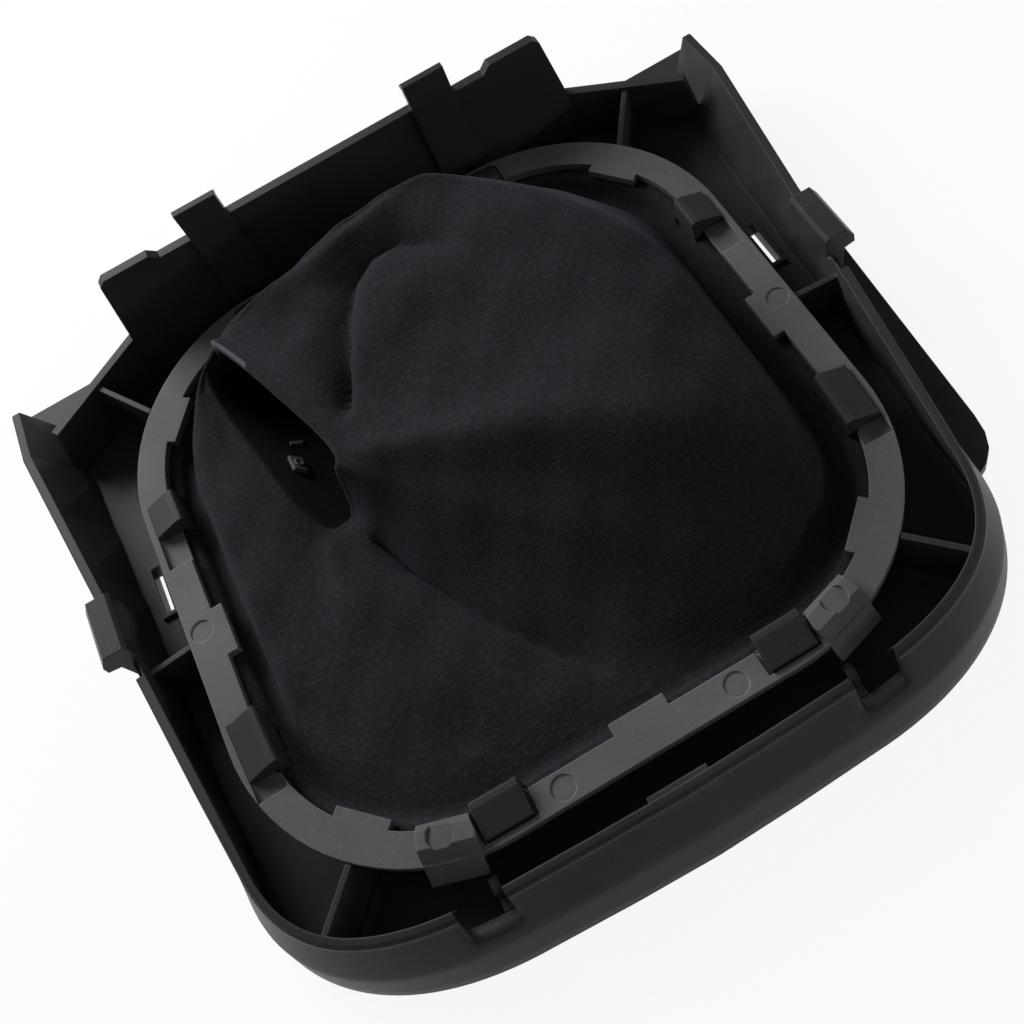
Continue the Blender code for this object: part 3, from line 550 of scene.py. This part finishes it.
def moulded_plastic(name, colour, roughness, grain, edge_radius, wear, grain_depth, wall_radius=0):
    """Moulded plastic: fine grain, cloudy sheen, rounded edges that are rubbed a little lighter. A
    wall radius smooths the broad curve of the bezel's front wall in shading."""
    made, shader, tree, add = new_material(name)
    place = add("ShaderNodeTexCoord").outputs["Object"]
    cloud = add("ShaderNodeTexNoise", {"Vector": place, "Scale": PLASTIC_CLOUD, "Detail": 5.0})
    per_metre = SPECKS_PER_GRAIN / grain
    speck = add("ShaderNodeTexNoise", {"Vector": place, "Scale": per_metre, "Detail": 3.0})
    grains = add("ShaderNodeTexNoise", {"Vector": place, "Scale": 1 / grain, "Detail": 2.0})
    edges = add("ShaderNodeBevel", {"Radius": edge_radius}, samples=BEVEL_SAMPLES)
    rounded = edges
    if wall_radius:
        parts = add("ShaderNodeSeparateXYZ", {"Vector": place})
        front = add("ShaderNodeMath", {0: parts.outputs["Y"], 1: FRONT_WALL_Y}, operation="LESS_THAN")
        below = add("ShaderNodeMath", {0: parts.outputs["Z"], 1: FRONT_WALL_Z}, operation="LESS_THAN")
        wall = add("ShaderNodeMath", {0: front.outputs[0], 1: below.outputs[0]}, operation="MULTIPLY")
        more = {0: wall.outputs[0], 1: wall_radius - edge_radius, 2: edge_radius}
        reach = add("ShaderNodeMath", more, operation="MULTIPLY_ADD")
        rounded = add("ShaderNodeBevel", {"Radius": reach.outputs[0]}, samples=BEVEL_SAMPLES)
    flat = add("ShaderNodeNewGeometry")
    along = add(
        "ShaderNodeVectorMath",
        {0: edges.outputs["Normal"], 1: flat.outputs["True Normal"]},
        operation="DOT_PRODUCT",
    )
    edge_stops = ((0.0, 1.0), (WORN_BELOW, wear), (UNWORN_ABOVE, 0.0))
    edge = ramp(add, along.outputs["Value"], *edge_stops)
    rubbed = ramp(add, cloud.outputs["Fac"], *RUB_STOPS)
    share = add("ShaderNodeMath", {0: edge, 1: rubbed}, operation="MULTIPLY")
    specked = mixed(
        add,
        ramp(add, speck.outputs["Fac"], *SPECK_STOPS),
        mottled(add, cloud, colour, PLASTIC_SHADES),
        lighter(colour, SPECK_SHADE),
    )
    worn = mixed(add, share.outputs[0], specked, lighter(colour, RUBBED_SHADE))
    tree.links.new(worn, shader.inputs["Base Color"])
    shader.inputs["Specular IOR Level"].default_value = PLASTIC_SPECULAR
    smoothest, roughest = (roughness + spread for spread in ROUGHNESS_SPREAD)
    sheen = add(
        "ShaderNodeMapRange",
        {"Value": cloud.outputs["Fac"], "To Min": smoothest, "To Max": roughest},
    )
    tree.links.new(sheen.outputs["Result"], shader.inputs["Roughness"])
    bump = add(
        "ShaderNodeBump",
        {
            "Height": grains.outputs["Fac"],
            "Normal": rounded.outputs["Normal"],
            "Strength": GRAIN_STRENGTH,
            "Distance": grain_depth,
        },
    )
    tree.links.new(bump.outputs["Normal"], shader.inputs["Normal"])
    return made


def woven_cloth(name, colour, rib_width):
    """Matt cloth: rows of short uneven ribs with a faint bluish sheen painted on their tops, painted
    shade inside below the mouth and a paler thread along the hem's fold."""
    made, shader, tree, add = new_material(name)
    place = add("ShaderNodeTexCoord").outputs["Object"]
    stretched = add(
        "ShaderNodeMapping",
        {
            "Vector": place,
            "Rotation": (0, 0, WEAVE_TURN),
            "Scale": tuple(dashes / rib_width for dashes in DASH_SCALE),
        },
    )
    dashes = add("ShaderNodeTexNoise", {"Vector": stretched.outputs[0], "Scale": 1.0, "Detail": 2.0})
    rows = add(
        "ShaderNodeTexWave",
        {"Vector": place, "Scale": ROW_SCALE / rib_width, "Distortion": ROW_BEND, "Detail": 2.0},
        wave_type="BANDS",
        bands_direction="Y",
    )
    fibre = add("ShaderNodeTexNoise", {"Vector": place, "Scale": FIBRE_SCALE, "Detail": 3.0})
    weave = add(
        "ShaderNodeMath",
        {0: rows.outputs["Fac"], 1: ROW_SHARE, 2: dashes.outputs["Fac"]},
        operation="MULTIPLY_ADD",
    )
    pile = add(
        "ShaderNodeMath",
        {0: fibre.outputs["Fac"], 1: FIBRE_SHARE, 2: weave.outputs[0]},
        operation="MULTIPLY_ADD",
    )
    cloud = add("ShaderNodeTexNoise", {"Vector": place, "Scale": CLOTH_CLOUD, "Detail": 4.0})
    # Painted sheen: the pile's tops are made lighter and bluish
    top = mixed(
        add,
        ramp(add, pile.outputs[0], *PAINTED_SHEEN_STOPS),
        mottled(add, cloud, colour, CLOTH_SHADES),
        tuple(part * shade for part, shade in zip(colour, PAINTED_SHEEN_SHADES)),
    )
    # Painted shade: the cloth darkens down into the mouth, as the inside attribute says
    inside = add("ShaderNodeAttribute", attribute_name="inside")
    painted_shaded = mixed(add, inside.outputs["Fac"], top, lighter(colour, PAINTED_SHADE_DARKNESS))
    hem = add("ShaderNodeAttribute", attribute_name="hem")
    threaded = mixed(add, hem.outputs["Fac"], painted_shaded, lighter(colour, THREAD_SHADE))
    tree.links.new(threaded, shader.inputs["Base Color"])
    shader.inputs["Roughness"].default_value = CLOTH_ROUGHNESS
    shader.inputs["Specular IOR Level"].default_value = CLOTH_SPECULAR
    shader.inputs["Sheen Weight"].default_value = SHEEN_WEIGHT
    shader.inputs["Sheen Roughness"].default_value = SHEEN_ROUGHNESS
    shader.inputs["Sheen Tint"].default_value = SHEEN_TINT
    bump = add(
        "ShaderNodeBump",
        {"Height": pile.outputs[0], "Strength": WEAVE_STRENGTH, "Distance": WEAVE_DEPTH},
    )
    tree.links.new(bump.outputs["Normal"], shader.inputs["Normal"])
    return made


def studio_surface(name, colour):
    """A floor that the camera and reflections see as plain white, with the part's shadow kept faint."""
    made, shader, tree, add = new_material(name)
    shader.inputs["Base Color"].default_value = (*colour, 1)
    shader.inputs["Roughness"].default_value = FLOOR_ROUGHNESS
    shader.inputs["Specular IOR Level"].default_value = FLOOR_SPECULAR
    path = add("ShaderNodeLightPath")
    seen = add(
        "ShaderNodeMath",
        {0: path.outputs["Is Camera Ray"], 1: path.outputs["Is Glossy Ray"]},
        operation="MAXIMUM",
    )
    seen_through = add(
        "ShaderNodeMath",
        {0: seen.outputs[0], 1: path.outputs["Is Transmission Ray"]},
        operation="MAXIMUM",
    )
    white = add("ShaderNodeEmission", {"Color": WHITE, "Strength": 1.0})
    share = add(
        "ShaderNodeMath",
        {0: seen_through.outputs[0], 1: FLOOR_WHITENESS},
        operation="MULTIPLY",
    )
    both = add("ShaderNodeMixShader", {0: share.outputs[0], 1: shader.outputs[0], 2: white.outputs[0]})
    tree.links.new(both.outputs[0], tree.nodes["Material Output"].inputs["Surface"])
    return made


def seat_way(x, y):
    """The seat's inner rectangle holds its corners' centres. Its point nearest to (x, y), and the
    way from there to (x, y), of length 1."""
    core = np.array([max(-CORE_HALF, min(CORE_HALF, x)), max(CORE_FRONT, min(CORE_REAR, y))])
    way = np.array([x, y]) - core
    return core, way / np.hypot(*way)


def seat_point(x, y, inset):
    """The point of the seat's outline nearest to (x, y), moved in by inset."""
    core, way = seat_way(x, y)
    return core + way * (SEAT_RADIUS - inset)


def seat_outline():
    """The seat's rounded rectangle, anticlockwise from the rear end of its right-hand side."""
    corners = (
        (CORE_HALF, CORE_REAR, 0),
        (-CORE_HALF, CORE_REAR, 90),
        (-CORE_HALF, CORE_FRONT, 180),
        (CORE_HALF, CORE_FRONT, 270),
    )
    points = []
    for x, y, start in corners:
        for step in range(CORNER_STEPS + 1):
            turn = math.radians(start + 90 * step / CORNER_STEPS)
            points.append((x + SEAT_RADIUS * math.cos(turn), y + SEAT_RADIUS * math.sin(turn)))
    return np.array(points)


def seat_walk(count):
    """Evenly spaced points round the seat's outline."""
    outline = seat_outline()
    closed = np.vstack([outline, outline[:1]])
    along = np.concatenate([[0], np.cumsum(np.hypot(*np.diff(closed, axis=0).T))])
    wanted = np.arange(count) * along[-1] / count
    return np.stack([np.interp(wanted, along, closed[:, axis]) for axis in (0, 1)], 1)


def mouth_point(x, y, widen):
    """The mouth's long oval, widened by an amount, at the bearing of (x, y), and how far round it
    that is."""
    long_way = np.array([math.cos(MOUTH_TURN), math.sin(MOUTH_TURN)])
    side_way = np.array([-long_way[1], long_way[0]])
    offset = np.array([x - MOUTH_X, y - MOUTH_Y])
    turn = math.atan2(offset @ side_way, offset @ long_way)
    ahead = math.copysign(abs(math.cos(turn)) ** MOUTH_SQUARE, math.cos(turn))
    aside = math.copysign(abs(math.sin(turn)) ** MOUTH_SQUARE, math.sin(turn))
    reach = long_way * ahead * (MOUTH_LENGTH - MOUTH_WIDTH + widen) / 2
    flare = 1 + MOUTH_FLARE * ahead if aside > 0 else 1
    half_width = side_way * aside * flare * widen / 2
    return np.array([MOUTH_X, MOUTH_Y]) + reach + half_width, turn


def nearest_on(line, points):
    """For each point in plan, the nearest point of a fold line, its distance, which is infinite past
    the line's ends, which side of the line it is on, over 0 for the left, and how far along the line
    it is, from 0 to 1."""
    best = np.full(len(points), np.inf)
    found = np.zeros((len(points), 3))
    past_end = np.zeros(len(points), bool)
    side = np.zeros(len(points))
    along = np.zeros(len(points))
    for index, (start, end) in enumerate(zip(line, line[1:])):
        run = end - start
        offset = points - start[:2]
        share = (offset @ run[:2]) / (run[:2] @ run[:2])
        past = (share < 0) & (index == 0) | (share > 1) & (index == len(line) - 2)
        share = np.clip(share, 0, 1)
        spot = start + share[:, None] * run
        away = np.hypot(*(points - spot[:, :2]).T)
        closer = away < best
        best[closer] = away[closer]
        found[closer] = spot[closer]
        past_end[closer] = past[closer]
        side[closer] = np.sign(run[0] * offset[:, 1] - run[1] * offset[:, 0])[closer]
        along[closer] = ((index + share) / (len(line) - 1))[closer]
    best[past_end] = np.inf
    return found, best, side, along


def pin_nearest(line, points, fixed, reach):
    """Moves the one free point nearest to a fold line on to it, if it is within reach."""
    spots, away, _, _ = nearest_on(line, points[:, :2])
    away[fixed] = np.inf
    nearest = int(np.argmin(away))
    if away[nearest] < reach:
        points[nearest] = spots[nearest]
        fixed[nearest] = True


def pin_folds(net, fixed, around, along, reach):
    """Pins one point of each column to each line around, and one of each row to each line along."""
    for line in around:
        for column in range(net.shape[1]):
            pin_nearest(np.array(line) * MM, net[:, column], fixed[:, column], reach)
    for line in along:
        for row in range(net.shape[0]):
            pin_nearest(np.array(line) * MM, net[row], fixed[row], reach)


def relax(net, fixed, rounds):
    """Draws the free points taut between the pinned ones, as stretched cloth lies."""
    for _ in range(rounds):
        mean = (np.roll(net, 1, 1) + np.roll(net, -1, 1)) / 4
        mean[1:-1] += (net[2:] + net[:-2]) / 4
        net[1:-1] = np.where(fixed[1:-1, :, None], net[1:-1], mean[1:-1])


def settle(net, plan, around, along, reach, pinned_rounds, free_rounds):
    """Pins the fold lines, draws the cloth taut and softens it. In plan it relaxes how far each point
    has moved from its own place, so that the net doesn't fold over the mouth's ends."""
    fixed = np.zeros(net.shape[:2], bool)
    fixed[[0, -1]] = True
    pin_folds(net, fixed, around, along, reach)
    net[..., :2] -= plan
    relax(net, fixed, pinned_rounds)
    fixed[1:-1] = False
    relax(net, fixed, free_rounds)
    net[..., :2] += plan


def doubled(net):
    """The net with a point between each two, on a smooth curve through their neighbours."""
    between = (9 * (net + np.roll(net, -1, 1)) - np.roll(net, 1, 1) - np.roll(net, -2, 1)) / 16
    wide = np.stack([net, between], 2).reshape(net.shape[0], -1, net.shape[2])
    padded = np.concatenate([2 * wide[:1] - wide[1:2], wide, 2 * wide[-1:] - wide[-2:-1]])
    middle = (9 * (padded[1:-2] + padded[2:-1]) - padded[:-3] - padded[3:]) / 16
    tall = np.empty((2 * len(wide) - 1, *wide.shape[1:]))
    tall[::2], tall[1::2] = wide, middle
    return tall


def smooth_step(values):
    """A soft rise from 0 to 1 as the values go from 0 to 1."""
    values = np.clip(values, 0, 1)
    return values * values * (3 - 2 * values)


def sculpt_folds(net, ripple):
    """Presses the steps and faint ripples into the taut cloth, faded out at its two ends."""
    points = net.reshape(-1, 3)
    rows = np.repeat(np.arange(len(net)), net.shape[1])
    inside = smooth_step(np.minimum(rows, len(net) - 1 - rows) / END_ROWS)
    for line, depth, left_far, right_far in STEPS:
        _, away, side, along = nearest_on(np.array(line) * MM, points[:, :2])
        fade = smooth_step(along / STEP_FADE_IN) * smooth_step((1 - along) / STEP_FADE_OUT)
        far = np.where(side > 0, left_far, right_far[0] + (right_far[1] - right_far[0]) * along)
        drop = depth[0] + (depth[1] - depth[0]) * along
        points[:, 2] -= drop * np.exp(-away / far) * fade * inside
    waves = np.zeros(len(points))
    for bearing, length, phase in WAVES:
        turn = math.radians(bearing)
        run = points[:, 0] * math.cos(turn) + points[:, 1] * math.sin(turn)
        waves += np.sin(run * 2 * math.pi / (length * MM) + phase) * length / WAVE_UNIT
    points[:, 2] += ripple * waves * inside


def mouth_walk(count):
    """Evenly spaced points round the seat, and the mouth's points and turns at their bearings."""
    walk = seat_walk(count)
    mouths = [mouth_point(x, y, MOUTH_WIDTH) for x, y in walk]
    turns = np.array([turn for _, turn in mouths])
    return walk, np.array([plan for plan, _ in mouths]), turns


def edge_row(walk, inset, heights):
    """A row of points that follows the seat's outline at an inset."""
    plan = np.array([seat_point(x, y, inset) for x, y in walk])
    return np.column_stack([plan, np.broadcast_to(heights, len(plan))])


def groove_heights(walk, column):
    """Heights of the groove at a row of points, from one column of its table."""
    table = np.array(GROOVE)
    bearings = np.degrees(np.arctan2(walk[:, 1], walk[:, 0])) % 360
    return np.interp(bearings, table[:, 0], table[:, column]) * MM


def rim_heights(turns):
    """Heights of the mouth's rim: low on the sheet's side, high on the lump's side."""
    sheet = SHEET_RIM[0] - SHEET_RIM[1] * np.cos(turns)
    lump = LUMP_RIM[0] - LUMP_RIM[1] * np.cos(turns)
    return sheet + (lump - sheet) * smooth_step(np.sin(turns) / RIM_TURN)


def folded_net(columns, rows, ripple):
    """The boot's folds as a net of points, from the groove's foot to the mouth's rim."""
    walk, mouth, turns = mouth_walk(columns)
    start = edge_row(walk, NET_INSET, groove_heights(walk, 2))
    rim = np.column_stack([mouth, rim_heights(turns)])
    shares = np.linspace(0, 1, rows)[:, None, None]
    net = start * (1 - shares) + rim * shares
    plan = net[..., :2].copy()
    settle(net, plan, AROUND, ALONG, PIN_REACH, RELAX_PASSES, SMOOTH_PASSES)
    for _ in range(REFINEMENTS):
        net, plan = doubled(net), doubled(plan)
        reach = PIN_REACH / 2
        settle(net, plan, SHARP_AROUND, SHARP_ALONG, reach, REFINE_PASSES, REFINE_PASSES)
    sculpt_folds(net, ripple)
    return net


def cloth_rows(columns, rows, ripple):
    """The boot's mid surface as rows of points, from the clamped edge to the hem inside the mouth,
    with how much painted shade and how much of the hem's thread each point shows."""
    net = folded_net(columns, rows, ripple)
    walk, mouth, turns = mouth_walk(net.shape[1])
    rim = rim_heights(turns)
    net[0] = edge_row(walk, NET_INSET, groove_heights(walk, 2))
    net[-1] = np.column_stack([mouth, rim])
    foot = groove_heights(walk, 1)

    def hem_row(widen, height):
        plan = np.array([mouth_point(x, y, widen)[0] for x, y in walk])
        lip_height = rim - MOUTH_LIP
        depth = np.clip((lip_height - height) / (lip_height - HEM_BOTTOM), 0, 1)
        plan[:, 0] += HEM_LEAN * depth
        return np.column_stack([plan, height])

    collar = [edge_row(walk, inset, FLANGE_MID + rise) for inset, rise in COLLAR]
    collar.append(edge_row(walk, WALL_INSETS[0], (FLANGE_MID + COLLAR[-1][1] + foot) / 2))
    collar.append(edge_row(walk, WALL_INSETS[1], foot))
    lip = [hem_row(MOUTH_WIDTH - narrower, rim + rise) for narrower, rise in LIP]
    tube = []
    for share in np.linspace(0, 1, TUBE_ROWS + 1)[1:]:
        narrow = smooth_step((share - TUBE_NARROWS_AT) / (1 - TUBE_NARROWS_AT))
        width = (MOUTH_WIDTH - MOUTH_LIP) * (1 - narrow) + HEM_SLIT * narrow
        tube.append(hem_row(width, (rim - MOUTH_LIP) * (1 - share) + HEM_BOTTOM * share))
    inner = len(collar) + len(net)
    painted_shade = np.zeros((inner + len(lip) + len(tube), len(walk)))
    # Painted shade: the cloth darkens from the lip's second row down the hem tube
    painted_shade[inner + 1 :] = np.minimum(1, np.linspace(*PAINTED_SHADE_STRENGTH, len(lip) + len(tube) - 1))[:, None]
    thread = np.zeros_like(painted_shade)
    thread[inner : inner + THREAD_ROWS] = (turns > HEM_THREAD[0]) & (turns < HEM_THREAD[1])
    return [*collar, *net, *lip, *tube], painted_shade, thread


def in_hook_slot(x, y):
    """Whether a point of the flange lies where a snap hook comes through."""
    for hook_x, hook_y, width in HOOKS:
        for side in SIDES:
            core, way = seat_way(side * hook_x, hook_y)
            offset = np.array([x, y]) - core - way * SEAT_RADIUS
            inset = -(offset @ way)
            across = abs(offset @ np.array([-way[1], way[0]]))
            if SLOT_LOW < inset < SLOT_HIGH and across < width / 2 - SLOT_SNUG:
                return True
    return False


def cloth_faces(points, count):
    """Faces between the rows of points, count to a row, left open where the hooks come through."""
    faces = []
    for row in range(len(points) // count - 1):
        for column in range(count):
            after = (column + 1) % count
            near, far = row * count, (row + 1) * count
            face = (near + column, near + after, far + after, far + column)
            if row < COLLAR_ROWS and in_hook_slot(*points[list(face), :2].mean(axis=0)):
                continue
            faces.append(face)
    return faces


def select_only(obj):
    """Makes this the only selected object, and the active one."""
    bpy.ops.object.select_all(action="DESELECT")
    obj.select_set(True)
    bpy.context.view_layer.objects.active = obj


def apply_modifier(obj, kind, **settings):
    """Adds a modifier with these settings and applies it."""
    select_only(obj)
    modifier = obj.modifiers.new(kind.lower(), kind)
    for key, value in settings.items():
        setattr(modifier, key, value)
    bpy.ops.object.modifier_apply(modifier=modifier.name)


def delete_loose_points(mesh):
    """Deletes the points that no face uses."""
    cage = bmesh.new()
    cage.from_mesh(mesh)
    loose = [vert for vert in cage.verts if not vert.link_faces]
    bmesh.ops.delete(cage, geom=loose, context="VERTS")
    cage.to_mesh(mesh)
    cage.free()


def give_material(obj, material):
    """Makes this the object's only material."""
    obj.data.materials.clear()
    obj.data.materials.append(material)


def finish_piece(obj, material):
    """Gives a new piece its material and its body."""
    give_material(obj, material)
    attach(obj, BODY)


class SHIFTBOOT_OT_stage(bpy.types.Operator):
    """Adds the pale floor, the soft lamps and the camera at the photograph's angle"""

    bl_idname = "shiftboot.stage"
    bl_label = "Add Stage"

    def execute(self, context):
        settings = context.scene.shift_boot_stage
        bpy.ops.object.select_all(action="DESELECT")
        bpy.ops.mesh.primitive_plane_add(size=FLOOR_SIZE, location=(0, 0, FLOOR_HEIGHT))
        floor = context.object
        floor.name = "floor"
        bpy.ops.object.transform_apply(location=True)
        floor.data.materials.append(studio_surface("floor_paper", settings.floor_colour))
        world = bpy.data.worlds.new("studio")
        world.use_nodes = True
        nodes, links = world.node_tree.nodes, world.node_tree.links
        light = nodes["Background"]
        light.inputs["Color"].default_value = WHITE
        light.inputs["Strength"].default_value = settings.room_level
        white = nodes.new("ShaderNodeBackground")
        white.inputs["Color"].default_value = WHITE
        path = nodes.new("ShaderNodeLightPath")
        both = nodes.new("ShaderNodeMixShader")
        links.new(path.outputs["Is Camera Ray"], both.inputs[0])
        links.new(light.outputs[0], both.inputs[1])
        links.new(white.outputs[0], both.inputs[2])
        links.new(both.outputs[0], nodes["World Output"].inputs["Surface"])
        context.scene.world = world
        self.add_lamp(context, "key_lamp", KEY_PLACE, KEY_SIZE, settings.key_power)
        self.add_lamp(context, "edge_lamp", EDGE_PLACE, EDGE_SIZE, settings.rim_power)
        self.add_camera(context, settings)
        context.scene.view_settings.view_transform = "Standard"
        return {"FINISHED"}

    def add_camera(self, context, settings):
        """Adds the camera that looks as the photograph's did."""
        lens = bpy.data.cameras.new("photo_camera")
        lens.lens = settings.lens
        lens.sensor_width = SENSOR_WIDTH
        lens.shift_x, lens.shift_y = LENS_SHIFT
        lens.clip_start = CLIP_START
        camera = bpy.data.objects.new("photo_camera", lens)
        context.scene.collection.objects.link(camera)
        turn = Matrix.Rotation(settings.azimuth, 3, "Z")
        tilt = Matrix.Rotation(math.pi / 2 - settings.elevation, 3, "X")
        roll = Matrix.Rotation(settings.roll, 3, "Z")
        camera.matrix_world = Matrix.Translation(settings.place) @ (turn @ tilt @ roll).to_4x4()
        context.scene.camera = camera

    def add_lamp(self, context, name, place, size, power):
        """Adds an oblong soft lamp that shines at the part."""
        lamp = bpy.data.lights.new(name, "AREA")
        lamp.shape = "RECTANGLE"
        lamp.size, lamp.size_y = size
        lamp.energy = power
        obj = bpy.data.objects.new(name, lamp)
        context.scene.collection.objects.link(obj)
        obj.location = place
        aim = Vector(LAMP_AIM) - Vector(place)
        obj.rotation_euler = aim.to_track_quat("-Z", "Y").to_euler()


class SHIFTBOOT_OT_bezel(bpy.types.Operator):
    """Gives the bezel its satin black moulded plastic"""

    bl_idname = "shiftboot.bezel"
    bl_label = "Finish Bezel"

    def execute(self, context):
        settings = context.scene.shift_boot_plastic
        plastic = moulded_plastic(
            "bezel_plastic",
            tuple(settings.bezel_colour),
            settings.bezel_roughness,
            settings.grain_size,
            settings.edge_radius,
            wear=0.35,
            grain_depth=0.05 * MM,
            wall_radius=FRONT_WALL_RADIUS,
        )
        give_material(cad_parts["trim_bezel"], plastic)
        return {"FINISHED"}


class SHIFTBOOT_OT_ring(bpy.types.Operator):
    """Gives the retaining ring its dark grey fine-grained plastic"""

    bl_idname = "shiftboot.ring"
    bl_label = "Finish Ring"

    def execute(self, context):
        settings = context.scene.shift_boot_plastic
        plastic = moulded_plastic(
            "ring_plastic",
            tuple(settings.ring_colour),
            settings.ring_roughness,
            settings.grain_size,
            settings.edge_radius,
            wear=0.25,
            grain_depth=0.07 * MM,
        )
        give_material(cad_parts["retaining_ring"], plastic)
        return {"FINISHED"}


class SHIFTBOOT_OT_cloth(bpy.types.Operator):
    """Makes the folded cloth boot, clamped round its edge and drawn down into its mouth"""

    bl_idname = "shiftboot.cloth"
    bl_label = "Make Cloth Boot"

    def execute(self, context):
        settings = context.scene.shift_boot_cloth
        rows, painted_shade, thread = cloth_rows(settings.columns, settings.rows, settings.ripple)
        points = np.concatenate(rows)
        faces = cloth_faces(points, len(rows[0]))
        points[:, 1] += SEAT_SHIFT_Y
        mesh = bpy.data.meshes.new("boot_cloth")
        mesh.from_pydata(points.tolist(), [], faces)
        # The inside attribute carries the painted shade in the mouth
        for name, values in (("inside", painted_shade), ("hem", thread)):
            mesh.attributes.new(name, "FLOAT", "POINT").data.foreach_set("value", values.ravel())
        cloth = bpy.data.objects.new("boot_cloth", mesh)
        context.scene.collection.objects.link(cloth)
        apply_modifier(cloth, "SOLIDIFY", thickness=settings.thickness, offset=0)
        delete_loose_points(cloth.data)
        cloth.data.shade_smooth()
        woven = woven_cloth("boot_cloth", tuple(settings.colour), settings.rib_width)
        finish_piece(cloth, woven)
        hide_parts("boot")
        return {"FINISHED"}


class SHIFTBOOT_OT_fastener(bpy.types.Operator):
    """Adds the small moulded fastener on the hem inside the mouth"""

    bl_idname = "shiftboot.fastener"
    bl_label = "Add Hem Fastener"

    def execute(self, context):
        cloth = bpy.data.objects["boot_cloth"]
        fastener = self.add_block(context, FASTENER_SIZE)
        fastener.name = "hem_fastener"
        bpy.ops.mesh.primitive_torus_add(
            major_segments=24,
            minor_segments=8,
            major_radius=RIB_RADIUS,
            minor_radius=RIB_WIRE,
            location=(0, 0, RIB_HEIGHT),
        )
        self.join_part(fastener, context.object)
        self.seat(fastener, cloth, FASTENER_PLACE)
        bar = self.add_block(context, BAR_SIZE)
        self.seat(bar, cloth, BAR_PLACE)
        self.join_part(fastener, bar)
        fastener.data.shade_flat()
        plastic = moulded_plastic(
            "fastener_plastic",
            FASTENER_COLOUR,
            FASTENER_ROUGHNESS,
            FASTENER_GRAIN,
            FASTENER_EDGE,
            wear=0.2,
            grain_depth=0.03 * MM,
        )
        finish_piece(fastener, plastic)
        return {"FINISHED"}

    def add_block(self, context, size):
        """Adds a block of this size with rounded edges."""
        bpy.ops.object.select_all(action="DESELECT")
        bpy.ops.mesh.primitive_cube_add(size=1.0)
        block = context.object
        block.scale = size
        bpy.ops.object.transform_apply(scale=True)
        apply_modifier(block, "BEVEL", width=FASTENER_BEVEL_SHARE * min(size), segments=3)
        return block

    def join_part(self, fastener, part):
        """Joins a part to the fastener by a union."""
        apply_modifier(fastener, "BOOLEAN", operation="UNION", object=part, solver="EXACT")
        bpy.data.objects.remove(part)

    def seat(self, part, cloth, place):
        """Lays a part flat on the cloth's surface nearest to the place, a little sunk in."""
        _, spot, normal, _ = cloth.closest_point_on_mesh(Vector(place))
        lift = part.dimensions.z / 3
        turn = normal.to_track_quat("Z", "Y") @ Quaternion((0, 0, 1), FASTENER_SPIN)
        select_only(part)
        part.rotation_euler = turn.to_euler()
        part.location = spot + normal * lift
        bpy.ops.object.transform_apply(location=True, rotation=True)


class SHIFTBOOT_PT_panel(bpy.types.Panel):
    """Lists the pieces and their settings"""

    bl_idname = "SHIFTBOOT_PT_panel"
    bl_label = "Shift Boot"
    bl_space_type = "VIEW_3D"
    bl_region_type = "UI"
    bl_category = "Shift Boot"

    def draw(self, context):
        for attribute, group, operators in SETTINGS:
            box = self.layout.box()
            settings = getattr(context.scene, attribute)
            for name in group.__annotations__:
                box.prop(settings, name)
            for operator in operators:
                box.operator(operator)


# Name of each settings group on the scene, its class and the operators that use it
SETTINGS = (
    ("shift_boot_stage", ShiftBootStage, ("shiftboot.stage",)),
    ("shift_boot_plastic", ShiftBootPlastic, ("shiftboot.bezel", "shiftboot.ring")),
    ("shift_boot_cloth", ShiftBootCloth, ("shiftboot.cloth", "shiftboot.fastener")),
)
CLASSES = (
    ShiftBootStage,
    ShiftBootPlastic,
    ShiftBootCloth,
    SHIFTBOOT_OT_stage,
    SHIFTBOOT_OT_bezel,
    SHIFTBOOT_OT_ring,
    SHIFTBOOT_OT_cloth,
    SHIFTBOOT_OT_fastener,
    SHIFTBOOT_PT_panel,
)


def register():
    for made in CLASSES:
        bpy.utils.register_class(made)
    for attribute, group, _ in SETTINGS:
        setattr(bpy.types.Scene, attribute, PointerProperty(type=group))


def unregister():
    for attribute, _, _ in SETTINGS:
        delattr(bpy.types.Scene, attribute)
    for made in reversed(CLASSES):
        bpy.utils.unregister_class(made)


def main():
    register()
    bpy.ops.shiftboot.stage()
    bpy.ops.shiftboot.bezel()
    bpy.ops.shiftboot.ring()
    bpy.ops.shiftboot.cloth()
    bpy.ops.shiftboot.fastener()


if __name__ == "__main__":
    main()
